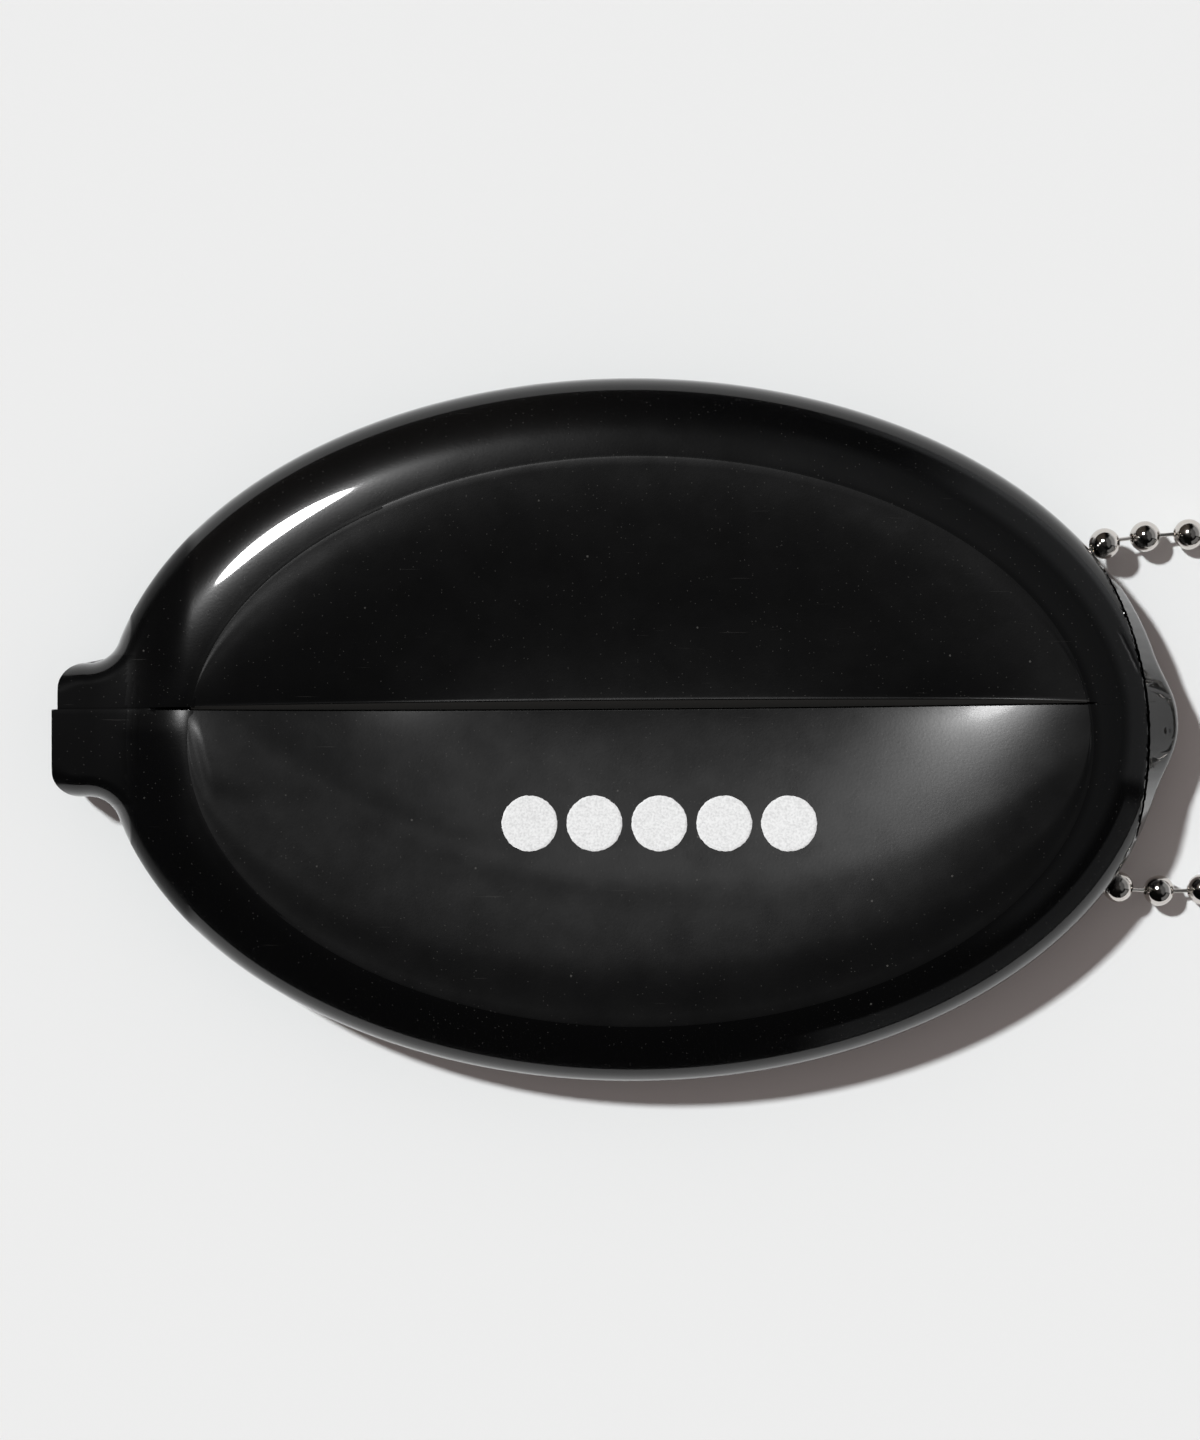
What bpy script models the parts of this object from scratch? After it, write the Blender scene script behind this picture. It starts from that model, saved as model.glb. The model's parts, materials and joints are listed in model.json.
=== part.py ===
"""Squeeze coin case with a ball chain: an oval vinyl pouch whose sunk front is slit from end to end.

Metres, +Z up. The origin is the middle of the flat back. The slit runs along X, the neck of the
moulding points to -X, and the chain leaves the tail at +X. Each object is one separate piece.
"""

import math

import bmesh
import bpy
import numpy as np
from mathutils import Matrix, Vector

MM = 0.001

# Case: one hollow vinyl moulding, whose rounded shoulder rises to a crease round the sunk front
CASE_HALF_LENGTH = 54.7 * MM  # oval only, without its neck and stub
CASE_HALF_WIDTH = 36.2 * MM
CASE_HEIGHT = 13.0 * MM
PARTING_HEIGHT = 6.2 * MM  # the widest line, above the flat back
WALL = 1.6 * MM
SHOULDER_REACH = 15.0 * MM  # where the shoulder's curve would come level, were it not creased first
SHOULDER_POWER = 3.0
FOOT_EDGE = 5.0 * MM  # from the widest line in to the flat back
CREASE_HALF_LENGTH = 46.6 * MM
CREASE_HALF_WIDTH = 29.1 * MM
CREASE_OFFSET = -0.9 * MM  # the crease's middle lies a little below the case's

# Neck at the left end, and the short stub at the tail
NECK_HALF_WIDTH = 6.9 * MM
NECK_FILLET = 3.3 * MM
NECK_STRAIGHT = 0.8 * MM
NECK_CORNER = 2.6 * MM
NECK_RISE_SHARE = 0.64  # the neck's thickness, as a share of the rim's
NECK_CUT_SHARE = 0.05  # the edge's roundness at the cut end, as a share of the rim's
NECK_STEP = 0.6 * MM  # how much shorter the neck is above the slit
STUB_REACH = 1.6 * MM
STUB_HALF_WIDTH = 7.7 * MM

# Slit and the two lips that it parts
SLIT_OFFSET = 2.35 * MM
SLIT_WIDTH = 0.6 * MM
SLIT_FLOOR = 5.9 * MM  # how low the knife goes through the rim at both ends
LIP_GAP = 0.3 * MM
LIP_STEP = 0.35 * MM  # a lip's root below the crease
LIP_SAG = 3.6 * MM
LIP_TIP_WIDTH = 1.2 * MM
EDGE_SLANT = 0.35 * MM  # from a lip's edge back to its underside, so that both lips can swing up
SAG_SWELL = 1.3  # how far the sag's steepest place lies from the slit, from 0.5 at the slit
BOW_POWER = 4

# Ball chain
BEAD_RADIUS = 1.6 * MM
BEAD_WALL = 0.2 * MM
BEAD_HOLE_RADIUS = 0.45 * MM
BEAD_PITCH = 4.75 * MM
WIRE_RADIUS = 0.2 * MM
HEAD_RADIUS = 0.48 * MM  # wider than the hole that it sits behind
HEAD_DEPTH = 0.7 * MM  # from a bead's hole in to the link's head
ROWS = 8
INNER_BEADS = 9

# Where the chain leaves the tail, and how the loop lies
EXIT_HEIGHT = 4.5 * MM
UPPER_EXIT_ANGLE = math.radians(29.9)
LOWER_EXIT_ANGLE = math.radians(-25.6)
UPPER_STAND_OFF = 1.85 * MM
LOWER_STAND_OFF = 1.05 * MM
EXIT_CLEARANCE = 0.35 * MM
FLOOR_CLEARANCE = 0.03 * MM
FIRST_HEADING = math.radians(8)
LAST_HEADING = math.radians(-84)
EXIT_SLOPE = math.radians(8)
DROP_SHARES = (1.0, 0.42, 0.09)  # heights of the beads next to a hole, above the lying ones

# Clasp: a folded trough that holds the two end beads
CLASP_HALF_SPAN = 3.3 * MM  # from its middle to each end bead
CLASP_WALL = 0.35 * MM
CLASP_CLEARANCE = 0.25 * MM
CLASP_LEG = 1.6 * MM
CLASP_SLOT_HALF = 0.75 * MM

# Facets
OVAL_STEPS = 28
NECK_ARC_STEPS = 5
NECK_END_STEPS = 2
SHOULDER_STEPS = 7
INNER_STEPS = 4
FOOT_STEPS = 4
LIP_COLUMNS = 32
LIP_ROWS = 7
BEAD_STEPS = 10
BEAD_OUTER_STEPS = 6
BEAD_INNER_STEPS = 4
LINK_STEPS = 6
HEAD_STEPS = 3
HOLE_STEPS = 16
TROUGH_STEPS = 10
SLOT_STEPS = 6
OVERRUN = 5.0 * MM
SHARP_ANGLE = math.radians(40)
SPUN_SHARP_ANGLE = math.radians(50)

# Searches by bisection
HALVINGS = 60
POWER_SEARCH = (0.3, 6.0)  # how fast the strands turn in

RIM_WIDTH = CASE_HALF_WIDTH - CREASE_HALF_WIDTH - CREASE_OFFSET
LIP_ROOT_HEIGHT = CASE_HEIGHT - LIP_STEP
BEAD_INNER_RADIUS = BEAD_RADIUS - BEAD_WALL
HOLE_REACH = (
    math.sqrt(BEAD_RADIUS**2 - BEAD_HOLE_RADIUS**2)
    + math.sqrt(BEAD_INNER_RADIUS**2 - BEAD_HOLE_RADIUS**2)
) / 2
LINK_LENGTH = BEAD_PITCH - 2 * HOLE_REACH + 2 * HEAD_DEPTH
CLASP_INNER_RADIUS = BEAD_RADIUS + CLASP_CLEARANCE
CLASP_OUTER_RADIUS = CLASP_INNER_RADIUS + CLASP_WALL
CLASP_HALF_LENGTH = CLASP_HALF_SPAN + CLASP_INNER_RADIUS + CLASP_WALL


def clear_scene():
    for item in list(bpy.data.objects):
        bpy.data.objects.remove(item, do_unlink=True)


def make_material(name, colour, roughness, metallic):
    material = bpy.data.materials.new(name)
    material.use_nodes = True
    shader = material.node_tree.nodes["Principled BSDF"]
    shader.inputs["Base Color"].default_value = (*colour, 1.0)
    shader.inputs["Roughness"].default_value = roughness
    shader.inputs["Metallic"].default_value = metallic
    material.diffuse_color = (*colour, 1.0)
    return material


def smooth(share):
    share = np.clip(share, 0.0, 1.0)
    return share * share * (3.0 - 2.0 * share)


def solve(error, low, high):
    """Bisection: the value between low and high where error, positive at low, comes to zero."""
    for _ in range(HALVINGS):
        middle = (low + high) / 2
        if error(middle) > 0:
            low = middle
        else:
            high = middle
    return (low + high) / 2


def add_object(name, mesh, material, location=(0, 0, 0), rotation=None, parent=None):
    item = bpy.data.objects.new(name, mesh)
    if not mesh.materials:
        mesh.materials.append(material)
    bpy.context.scene.collection.objects.link(item)
    place = Matrix.Translation(location)
    if rotation is not None:
        place = place @ rotation.to_4x4()
    if parent is not None:
        item.parent = parent
        place = world_matrix(parent).inverted() @ place
    item.matrix_basis = place
    return item


def world_matrix(item):
    """An object's place before the view layer has been updated."""
    above = world_matrix(item.parent) if item.parent else Matrix.Identity(4)
    return above @ item.matrix_basis


def finish_mesh(bm, name, sharp_angle=SHARP_ANGLE):
    bmesh.ops.recalc_face_normals(bm, faces=bm.faces)
    mesh = bpy.data.meshes.new(name)
    bm.to_mesh(mesh)
    bm.free()
    mesh.shade_smooth()
    mesh.set_sharp_from_angle(angle=sharp_angle)
    return mesh


def extrude(bm, move):
    """Closes an open sheet into a solid, up to a copy moved this far. Returns the copy's points."""
    moved = bmesh.ops.extrude_face_region(bm, geom=bm.faces[:])["geom"]
    points = [item for item in moved if isinstance(item, bmesh.types.BMVert)]
    bmesh.ops.translate(bm, verts=points, vec=move)
    return points


def cut(item, cutter):
    """Takes the cutter's shape out of the item."""
    cutter.hide_render = True
    cutter.display_type = "WIRE"
    modifier = item.modifiers.new(cutter.name, "BOOLEAN")
    modifier.operation = "DIFFERENCE"
    modifier.solver = "EXACT"
    modifier.object = cutter


def add_box(name, low, high, material):
    bm = bmesh.new()
    size = Vector(high) - Vector(low)
    middle = (Vector(high) + Vector(low)) / 2
    bmesh.ops.create_cube(bm, size=1.0, matrix=Matrix.Diagonal((*size, 1.0)))
    return add_object(name, finish_mesh(bm, name), material, location=middle)


def crease_point(angle, gap=0.0):
    x = (CREASE_HALF_LENGTH - gap) * math.cos(angle)
    return np.array([x, CREASE_OFFSET + (CREASE_HALF_WIDTH - gap) * math.sin(angle)])


def shoulder_rise(distance):
    """How far up the shoulder has come at this distance from the widest line, as a superellipse."""
    share = np.clip(distance / SHOULDER_REACH, 0.0, 1.0)
    return (1 - (1 - share) ** SHOULDER_POWER) ** (1 / SHOULDER_POWER)


def oval_point(angle):
    return np.array([CASE_HALF_LENGTH * math.cos(angle), CASE_HALF_WIDTH * math.sin(angle)])


def oval_normal(angle):
    normal = np.array([CASE_HALF_WIDTH * math.cos(angle), CASE_HALF_LENGTH * math.sin(angle)])
    return normal / np.linalg.norm(normal)


# Outline: half of the widest line, from the tail's tip to the middle of the neck's cut end. Each
# row is x, y, its rib's angle on the crease, the edge's roundness share and its height share.
def half_outline():
    fillet_y = NECK_HALF_WIDTH + NECK_FILLET

    def above_fillet(angle):
        return (oval_point(angle) + NECK_FILLET * oval_normal(angle))[1] - fillet_y

    tangent = solve(above_fillet, math.pi / 2, math.pi)
    centre = oval_point(tangent) + NECK_FILLET * oval_normal(tangent)
    rows = []
    for angle in np.linspace(0.0, tangent, OVAL_STEPS + 1)[:-1]:
        x, y = oval_point(angle)
        reach = 0.0
        if x > 0 and abs(y) < STUB_HALF_WIDTH:
            reach = STUB_REACH * (1 + math.cos(math.pi * y / STUB_HALF_WIDTH)) / 2
        rows.append((x + reach, y, 1.0))
    start = math.atan2(*-oval_normal(tangent)[::-1])
    for angle in np.linspace(start, -math.pi / 2, NECK_ARC_STEPS + 1):
        x, y = centre + NECK_FILLET * np.array([math.cos(angle), math.sin(angle)])
        rows.append((x, y, 1.0))
    neck_start = OVAL_STEPS
    corner_x = centre[0] - NECK_STRAIGHT
    corner_y = NECK_HALF_WIDTH - NECK_CORNER
    for step, angle in enumerate(np.linspace(math.pi / 2, math.pi, NECK_ARC_STEPS + 1)):
        share = step / NECK_ARC_STEPS
        x = corner_x + NECK_CORNER * math.cos(angle)
        y = corner_y + NECK_CORNER * math.sin(angle)
        rows.append((x, y, 1.0 + (NECK_CUT_SHARE - 1.0) * smooth(share)))
    for step in range(NECK_END_STEPS):
        y = corner_y * (1 - (step + 1) / NECK_END_STEPS)
        rows.append((corner_x - NECK_CORNER, y, NECK_CUT_SHARE))
    table = np.array(rows)
    along = np.linspace(0.0, 1.0, len(rows) - neck_start)
    angles = np.linspace(0.0, tangent, OVAL_STEPS + 1)[:-1]
    angles = np.concatenate([angles, tangent + (math.pi - tangent) * along])
    rise = np.ones(len(rows))
    rise[neck_start:] = 1.0 + (NECK_RISE_SHARE - 1.0) * smooth(2.0 * along)
    return np.column_stack([table[:, :2], angles, table[:, 2], rise])


def whole_outline():
    """The half outline and its mirror image, anticlockwise, with outward normals."""
    upper = half_outline()
    lower = upper[-2:0:-1] * np.array([1, -1, -1, 1, 1])
    rows = np.vstack([upper, lower])
    along = np.roll(rows[:, :2], -1, axis=0) - np.roll(rows[:, :2], 1, axis=0)
    normals = np.column_stack([along[:, 1], -along[:, 0]])
    normals /= np.linalg.norm(normals, axis=1)[:, None]
    return rows, normals


class Ribs:
    """Curves that leave the outline square to it and run in to an ellipse inside it."""

    def __init__(self, half_length, half_width, offset):
        rows, self.normals = whole_outline()
        self.start, self.angles = rows[:, :2], rows[:, 2]
        self.roundness, self.rise = rows[:, 3], rows[:, 4]
        axes = np.array([half_length, half_width])
        turn = np.column_stack([np.cos(self.angles), np.sin(self.angles)])
        self.end = turn * axes + np.array([0.0, offset])
        out = turn / axes
        self.out = out / np.linalg.norm(out, axis=1)[:, None]
        self.length = np.linalg.norm(self.start - self.end, axis=1)

    def at(self, share):
        """Points this share of the way along the ribs, on a cubic Bezier curve."""
        third = self.length[:, None] / 3
        a, b = self.start, self.start - self.normals * third
        c, d = self.end + self.out * third, self.end
        u = 1 - share
        return u**3 * a + 3 * u * u * share * b + 3 * u * share * share * c + share**3 * d


def ring(points, heights):
    return np.column_stack([points, np.broadcast_to(heights, len(points))])


def quarter_shares(steps):
    """Shares 1 - cos of even turns through a quarter circle: close together near its start."""
    return 1 - np.cos(np.linspace(0.0, math.pi / 2, steps + 1))


def outer_rings():
    """From the flat back out round the widest line and up the shoulder to the crease."""
    rings = []
    foot = Ribs(CASE_HALF_LENGTH - FOOT_EDGE, CASE_HALF_WIDTH - FOOT_EDGE, 0.0)
    for share in quarter_shares(FOOT_STEPS)[:0:-1]:
        turned = np.clip(share * foot.length / (FOOT_EDGE * foot.roundness), 0.0, 1.0)
        drop = PARTING_HEIGHT * (foot.rise + (1 - foot.rise) * smooth(share))
        rings.append(ring(foot.at(share), PARTING_HEIGHT - drop * np.sqrt(1 - (1 - turned) ** 2)))
    rim = Ribs(CREASE_HALF_LENGTH, CREASE_HALF_WIDTH, CREASE_OFFSET)
    crown = (CASE_HEIGHT - PARTING_HEIGHT) / shoulder_rise(RIM_WIDTH)
    for share in quarter_shares(SHOULDER_STEPS):
        climb = np.minimum(share * rim.length / rim.roundness, np.minimum(rim.length, RIM_WIDTH))
        rise = crown * (rim.rise + (1 - rim.rise) * smooth(share))
        rings.append(ring(rim.at(share), PARTING_HEIGHT + rise * shoulder_rise(climb)))
    return rings


def inner_rings():
    """The same walls' inside: from under the crease out beneath the shoulder and down to the floor."""
    turn = Ribs(CREASE_HALF_LENGTH, CREASE_HALF_WIDTH, CREASE_OFFSET).angles

    def between(share, inner_size, height):
        """A ring this share of the way from the wall's inside to an ellipse: half sizes and offset."""
        wall = np.array([CASE_HALF_LENGTH - WALL, CASE_HALF_WIDTH - WALL, 0.0])
        half_length, half_width, offset = wall + (inner_size - wall) * share
        x = half_length * np.cos(turn)
        return ring(np.column_stack([x, offset + half_width * np.sin(turn)]), height)

    crease = np.array([CREASE_HALF_LENGTH, CREASE_HALF_WIDTH, CREASE_OFFSET])
    floor = np.array([CASE_HALF_LENGTH - FOOT_EDGE, CASE_HALF_WIDTH - FOOT_EDGE, 0.0])
    rings = []
    for share in quarter_shares(INNER_STEPS)[::-1]:
        rise = math.sqrt(1 - (1 - share) ** 2)
        height = PARTING_HEIGHT + (LIP_ROOT_HEIGHT - WALL - PARTING_HEIGHT) * rise
        rings.append(between(share, crease, height))
    for share in quarter_shares(INNER_STEPS)[1:]:
        drop = math.sqrt(1 - (1 - share) ** 2)
        rings.append(between(share, floor, PARTING_HEIGHT - (PARTING_HEIGHT - WALL) * drop))
    return rings


def loft(name, rings):
    """A closed solid through rings of equal count, capped flat at the first and the last."""
    bm = bmesh.new()
    loops = [[bm.verts.new(point) for point in points] for points in rings]
    count = len(loops[0])
    for low, high in zip(loops, loops[1:]):
        for i in range(count):
            j = (i + 1) % count
            bm.faces.new((low[i], low[j], high[j], high[i]))
    bm.faces.new(loops[0][::-1])
    bm.faces.new(loops[-1])
    return finish_mesh(bm, name)


def add_case(vinyl, chain):
    """The moulding, the two holes for the chain, then the knife's slit through its front."""
    mesh = loft("case_shell", outer_rings() + inner_rings())
    case = add_object("case_shell", mesh, vinyl)
    for label, outside, inside in (
        ("upper", chain.centres[chain.upper_index(0)], chain.centres[ROWS]),
        ("lower", chain.centres[chain.lower_index(0)], chain.centres[ROWS + INNER_BEADS - 1]),
    ):
        cut(case, add_exit_cutter(label, outside, inside, vinyl))
    reach = CASE_HALF_LENGTH + NECK_FILLET + NECK_CORNER + OVERRUN
    low_side, high_side = SLIT_OFFSET - SLIT_WIDTH / 2, SLIT_OFFSET + SLIT_WIDTH / 2
    top = CASE_HEIGHT + OVERRUN
    cut(case, add_box("slit_cutter", (-reach, low_side, SLIT_FLOOR), (reach, high_side, top), vinyl))
    neck_end = half_outline()[-1][0] + NECK_STEP
    far_side = NECK_HALF_WIDTH + OVERRUN
    low, high = (-reach, SLIT_OFFSET, SLIT_FLOOR), (neck_end, far_side, top)
    cut(case, add_box("neck_step_cutter", low, high, vinyl))
    return case


def add_exit_cutter(label, outside, inside, material):
    """A round hole along the chain's first link, from past the outside bead to past the inside one."""
    along = (outside - inside).normalized()
    length = BEAD_PITCH + OVERRUN
    bm = bmesh.new()
    bmesh.ops.create_cone(
        bm,
        cap_ends=True,
        segments=HOLE_STEPS,
        radius1=BEAD_RADIUS + EXIT_CLEARANCE,
        radius2=BEAD_RADIUS + EXIT_CLEARANCE,
        depth=length,
    )
    name = f"{label}_exit_cutter"
    turn = along.to_track_quat("Z", "Y").to_matrix()
    return add_object(name, finish_mesh(bm, name), material, (outside + inside) / 2, turn)


def lip_height(across, along):
    """Top of a lip. It is level at its root, and sags towards the slit with an S-shaped fall.

    across runs from 0 at the free edge to 1 at the root; along from -1 to 1 between the slit's ends.
    """
    fall = (1 - across) ** 2 * (1 + SAG_SWELL * across)
    return LIP_ROOT_HEIGHT - LIP_SAG * (1 - abs(along) ** BOW_POWER) * fall


def crease_angle(y):
    """Angle of the point on the right half of a lip's root line at this distance up the case."""
    return math.asin((y - CREASE_OFFSET) / (CREASE_HALF_WIDTH - LIP_GAP))


def add_lip(name, side, vinyl):
    """Half of the front, from the slit to the crease. Its origin is on its fold, at the root."""
    free_edge = SLIT_OFFSET + side * SLIT_WIDTH / 2
    free_x = crease_point(crease_angle(free_edge), LIP_GAP)[0]
    tip = crease_angle(free_edge + side * LIP_TIP_WIDTH)
    start = side * math.pi - tip
    fold = Vector((*crease_point(side * math.pi / 2, LIP_GAP), LIP_ROOT_HEIGHT))
    bm = bmesh.new()
    columns = []
    for share in np.linspace(0.0, 1.0, LIP_COLUMNS + 1):
        free = np.array([-free_x * math.cos(math.pi * share), free_edge])
        root = crease_point(start + (tip - start) * share, LIP_GAP)
        column = []
        for across in np.linspace(0.0, 1.0, LIP_ROWS + 1):
            x, y = free + (root - free) * across
            point = Vector((x, y, lip_height(across, x / CREASE_HALF_LENGTH))) - fold
            column.append(bm.verts.new(point))
        columns.append(column)
    for left, right in zip(columns, columns[1:]):
        for k in range(LIP_ROWS):
            bm.faces.new((left[k], right[k], right[k + 1], left[k + 1]))
    underside = extrude(bm, (0.0, 0.0, -WALL))
    narrower = 1 - EDGE_SLANT / abs(fold.y - free_edge)
    bmesh.ops.scale(bm, verts=underside, vec=(1.0, narrower, 1.0))
    return add_object(name, finish_mesh(bm, name), vinyl, location=fold)


class Chain:
    """Beads and links: two strands of rows outside the tail, and the inner run that joins them.

    The loop has a frame of its own: u runs away from the tail, v across it from the lower strand to
    the upper. Its rows lie square to u, so every fold line runs along v through both strands.
    """

    def __init__(self):
        upper = self.exit_point(UPPER_EXIT_ANGLE, UPPER_STAND_OFF)
        lower = self.exit_point(LOWER_EXIT_ANGLE, LOWER_STAND_OFF)
        self.middle = (upper + lower) / 2
        self.half_gap = np.linalg.norm(upper - lower) / 2
        self.v = (upper - lower) / (2 * self.half_gap)
        self.u = np.array([self.v[1], -self.v[0]])
        strand = self.strand()
        upper = [self.place(a, v, z) for a, v, z in strand]
        lower = [self.place(a, -v, z) for a, v, z in strand]
        self.centres = upper[::-1] + self.inner_run() + lower
        self.axes = self.bead_axes()

    def exit_point(self, angle, stand_off):
        return oval_point(angle) + stand_off * oval_normal(angle)

    def place(self, ahead, across, height):
        x, y = self.middle + ahead * self.u + across * self.v
        return Vector((x, y, height))

    def strand(self):
        """Ahead, across and height of one strand's beads: down to the floor, then in to the clasp."""
        heights = self.drop(EXIT_HEIGHT, BEAD_RADIUS + FLOOR_CLEARANCE, ROWS)
        heights[-1] = CLASP_OUTER_RADIUS + FLOOR_CLEARANCE
        flat = np.sqrt(BEAD_PITCH**2 - np.diff(heights) ** 2)
        span = self.half_gap - CLASP_HALF_SPAN
        power = solve(lambda p: -np.sum(flat * np.sin(self.headings(p))) - span, *POWER_SEARCH)
        headings = self.headings(power)
        ahead = np.concatenate([[0.0], np.cumsum(flat * np.cos(headings))])
        across = self.half_gap + np.concatenate([[0.0], np.cumsum(flat * np.sin(headings))])
        return list(zip(ahead, across, heights))

    def drop(self, start, floor, count):
        """Heights that slope down from a hole in the case to where the beads lie flat."""
        shares = np.zeros(count)
        shares[: len(DROP_SHARES)] = DROP_SHARES
        return floor + (start - floor) * shares

    def headings(self, power):
        """Direction of each link from u: it turns in faster towards the clasp with a higher power."""
        share = np.linspace(0.0, 1.0, ROWS - 1) ** power
        return FIRST_HEADING + (LAST_HEADING - FIRST_HEADING) * share

    def inner_run(self):
        """An even bend through the case's end, that starts and ends at the two outer beads."""
        floor = WALL + BEAD_RADIUS + FLOOR_CLEARANCE
        high = EXIT_HEIGHT + BEAD_PITCH * math.sin(EXIT_SLOPE)
        down = self.drop(high, floor, INNER_BEADS)
        heights = np.concatenate([[EXIT_HEIGHT], np.maximum(down, down[::-1]), [EXIT_HEIGHT]])
        flat = np.sqrt(BEAD_PITCH**2 - np.diff(heights) ** 2)
        steps = np.arange(len(flat)) - (len(flat) - 1) / 2
        widest = math.pi / len(flat)
        bend = solve(lambda b: np.sum(flat * np.cos(b * steps)) - 2 * self.half_gap, 0.0, widest)
        ahead = np.cumsum(flat * np.sin(bend * steps))
        across = self.half_gap - np.cumsum(flat * np.cos(bend * steps))
        return [self.place(a, v, z) for a, v, z in zip(ahead[:-1], across[:-1], heights[1:-1])]

    def bead_axes(self):
        """Each bead's holes lie along the line that halves the bend there; the clasp closes the loop."""
        axes = []
        count = len(self.centres)
        for k, centre in enumerate(self.centres):
            before = (centre - self.centres[k - 1]).normalized()
            after = (self.centres[(k + 1) % count] - centre).normalized()
            axes.append((before + after).normalized())
        return axes

    def hole(self, index, side):
        """Middle of a bead's hole: side is -1 towards the bead before it, 1 towards the one after."""
        return self.centres[index] + side * HOLE_REACH * self.axes[index]

    def upper_index(self, row):
        return ROWS - 1 - row

    def lower_index(self, row):
        return ROWS + INNER_BEADS + row

    def fold(self, row):
        """Middle of the line through the two holes about which this row folds."""
        above = self.hole(self.upper_index(row - 1), -1)
        below = self.hole(self.lower_index(row - 1), 1)
        return (above + below) / 2


def spun_mesh(name, profile, steps, closed):
    """Turns a profile of x and radius about the X axis. An open one starts and ends on the axis."""
    bm = bmesh.new()
    rings = []
    for x, radius in profile:
        if radius == 0:
            rings.append([bm.verts.new((x, 0.0, 0.0))])
            continue
        turns = [2 * math.pi * k / steps for k in range(steps)]
        rings.append([bm.verts.new((x, radius * math.cos(t), radius * math.sin(t))) for t in turns])
    pairs = list(zip(rings, rings[1:]))
    if closed:
        pairs.append((rings[-1], rings[0]))
    for first, second in pairs:
        for k in range(steps):
            j = (k + 1) % steps
            corners = [first[k % len(first)], first[j % len(first)]]
            corners += [second[j % len(second)], second[k % len(second)]]
            bm.faces.new(list(dict.fromkeys(corners)))
    return finish_mesh(bm, name, SPUN_SHARP_ANGLE)


def bead_mesh():
    """A hollow ball with a hole at each end."""
    outer_start = math.asin(BEAD_HOLE_RADIUS / BEAD_RADIUS)
    inner_start = math.asin(BEAD_HOLE_RADIUS / BEAD_INNER_RADIUS)
    outer = np.linspace(outer_start, math.pi - outer_start, BEAD_OUTER_STEPS + 1)
    inner = np.linspace(math.pi - inner_start, inner_start, BEAD_INNER_STEPS + 1)
    profile = [(BEAD_RADIUS * math.cos(t), BEAD_RADIUS * math.sin(t)) for t in outer]
    profile += [(BEAD_INNER_RADIUS * math.cos(t), BEAD_INNER_RADIUS * math.sin(t)) for t in inner]
    return spun_mesh("bead", profile, BEAD_STEPS, closed=True)


def link_mesh():
    """A wire with a round head at each end, along X, with its middle at the origin."""
    neck = math.asin(WIRE_RADIUS / HEAD_RADIUS)
    turns = np.linspace(math.pi, neck, HEAD_STEPS + 1)
    head = [(HEAD_RADIUS * math.cos(t), HEAD_RADIUS * math.sin(t)) for t in turns]
    head[0] = (-HEAD_RADIUS, 0)
    half = LINK_LENGTH / 2
    profile = [(x - half, radius) for x, radius in head]
    profile += [(half - x, radius) for x, radius in reversed(head)]
    return spun_mesh("link", profile, LINK_STEPS, closed=False)


def turn_to(direction):
    return Vector(direction).to_track_quat("X", "Z").to_matrix()


def add_bead(name, mesh, nickel, chain, index, parent=None):
    return add_object(name, mesh, nickel, chain.centres[index], turn_to(chain.axes[index]), parent)


def add_link(name, mesh, nickel, chain, index, parent=None):
    """The link from this bead to the next, through the middles of their two facing holes."""
    start, end = chain.hole(index, 1), chain.hole(index + 1, -1)
    return add_object(name, mesh, nickel, (start + end) / 2, turn_to(end - start), parent)


def add_fold(name, place, parent):
    """An empty on a fold line of the chain, under the fold before it."""
    fold = bpy.data.objects.new(name, None)
    bpy.context.scene.collection.objects.link(fold)
    fold.matrix_basis = Matrix.Translation(place)
    if parent is not None:
        fold.parent = parent
        fold.matrix_basis = world_matrix(parent).inverted() @ fold.matrix_basis
    return fold


def add_chain(chain, nickel):
    """Beads and links, each row of the two strands under its fold. Returns the last fold."""
    bead, link = bead_mesh(), link_mesh()
    first_inner = ROWS
    for k in range(INNER_BEADS):
        add_bead(f"bead_inner_{k + 1}", bead, nickel, chain, first_inner + k)
    for k in range(INNER_BEADS + 1):
        add_link(f"link_inner_{k + 1}", link, nickel, chain, first_inner - 1 + k)
    parent = None
    for row in range(ROWS):
        if row > 0:
            parent = add_fold(f"fold_{row + 1}", chain.fold(row), parent)
        above, below = chain.upper_index(row), chain.lower_index(row)
        add_bead(f"bead_upper_{row + 1}", bead, nickel, chain, above, parent)
        add_bead(f"bead_lower_{row + 1}", bead, nickel, chain, below, parent)
        if row > 0:
            add_link(f"link_upper_{row + 1}", link, nickel, chain, above, parent)
            add_link(f"link_lower_{row + 1}", link, nickel, chain, below - 1, parent)
    return parent


def trough_profile(radius, leg, steps):
    """Cross-section of the clasp: round away from the tail, with two straight legs towards it."""
    turns = np.linspace(-math.pi / 2, math.pi / 2, steps + 1)
    points = [(radius * math.cos(t), radius * math.sin(t)) for t in turns]
    return [(-leg, -radius), *points, (-leg, radius)]


def add_prism(name, profile, half_length, material, location, rotation):
    """A closed profile in X and Z, extruded along Y through its middle."""
    bm = bmesh.new()
    bm.faces.new([bm.verts.new((x, -half_length, z)) for x, z in profile])
    extrude(bm, (0.0, 2 * half_length, 0.0))
    return add_object(name, finish_mesh(bm, name), material, location, rotation)


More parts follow.
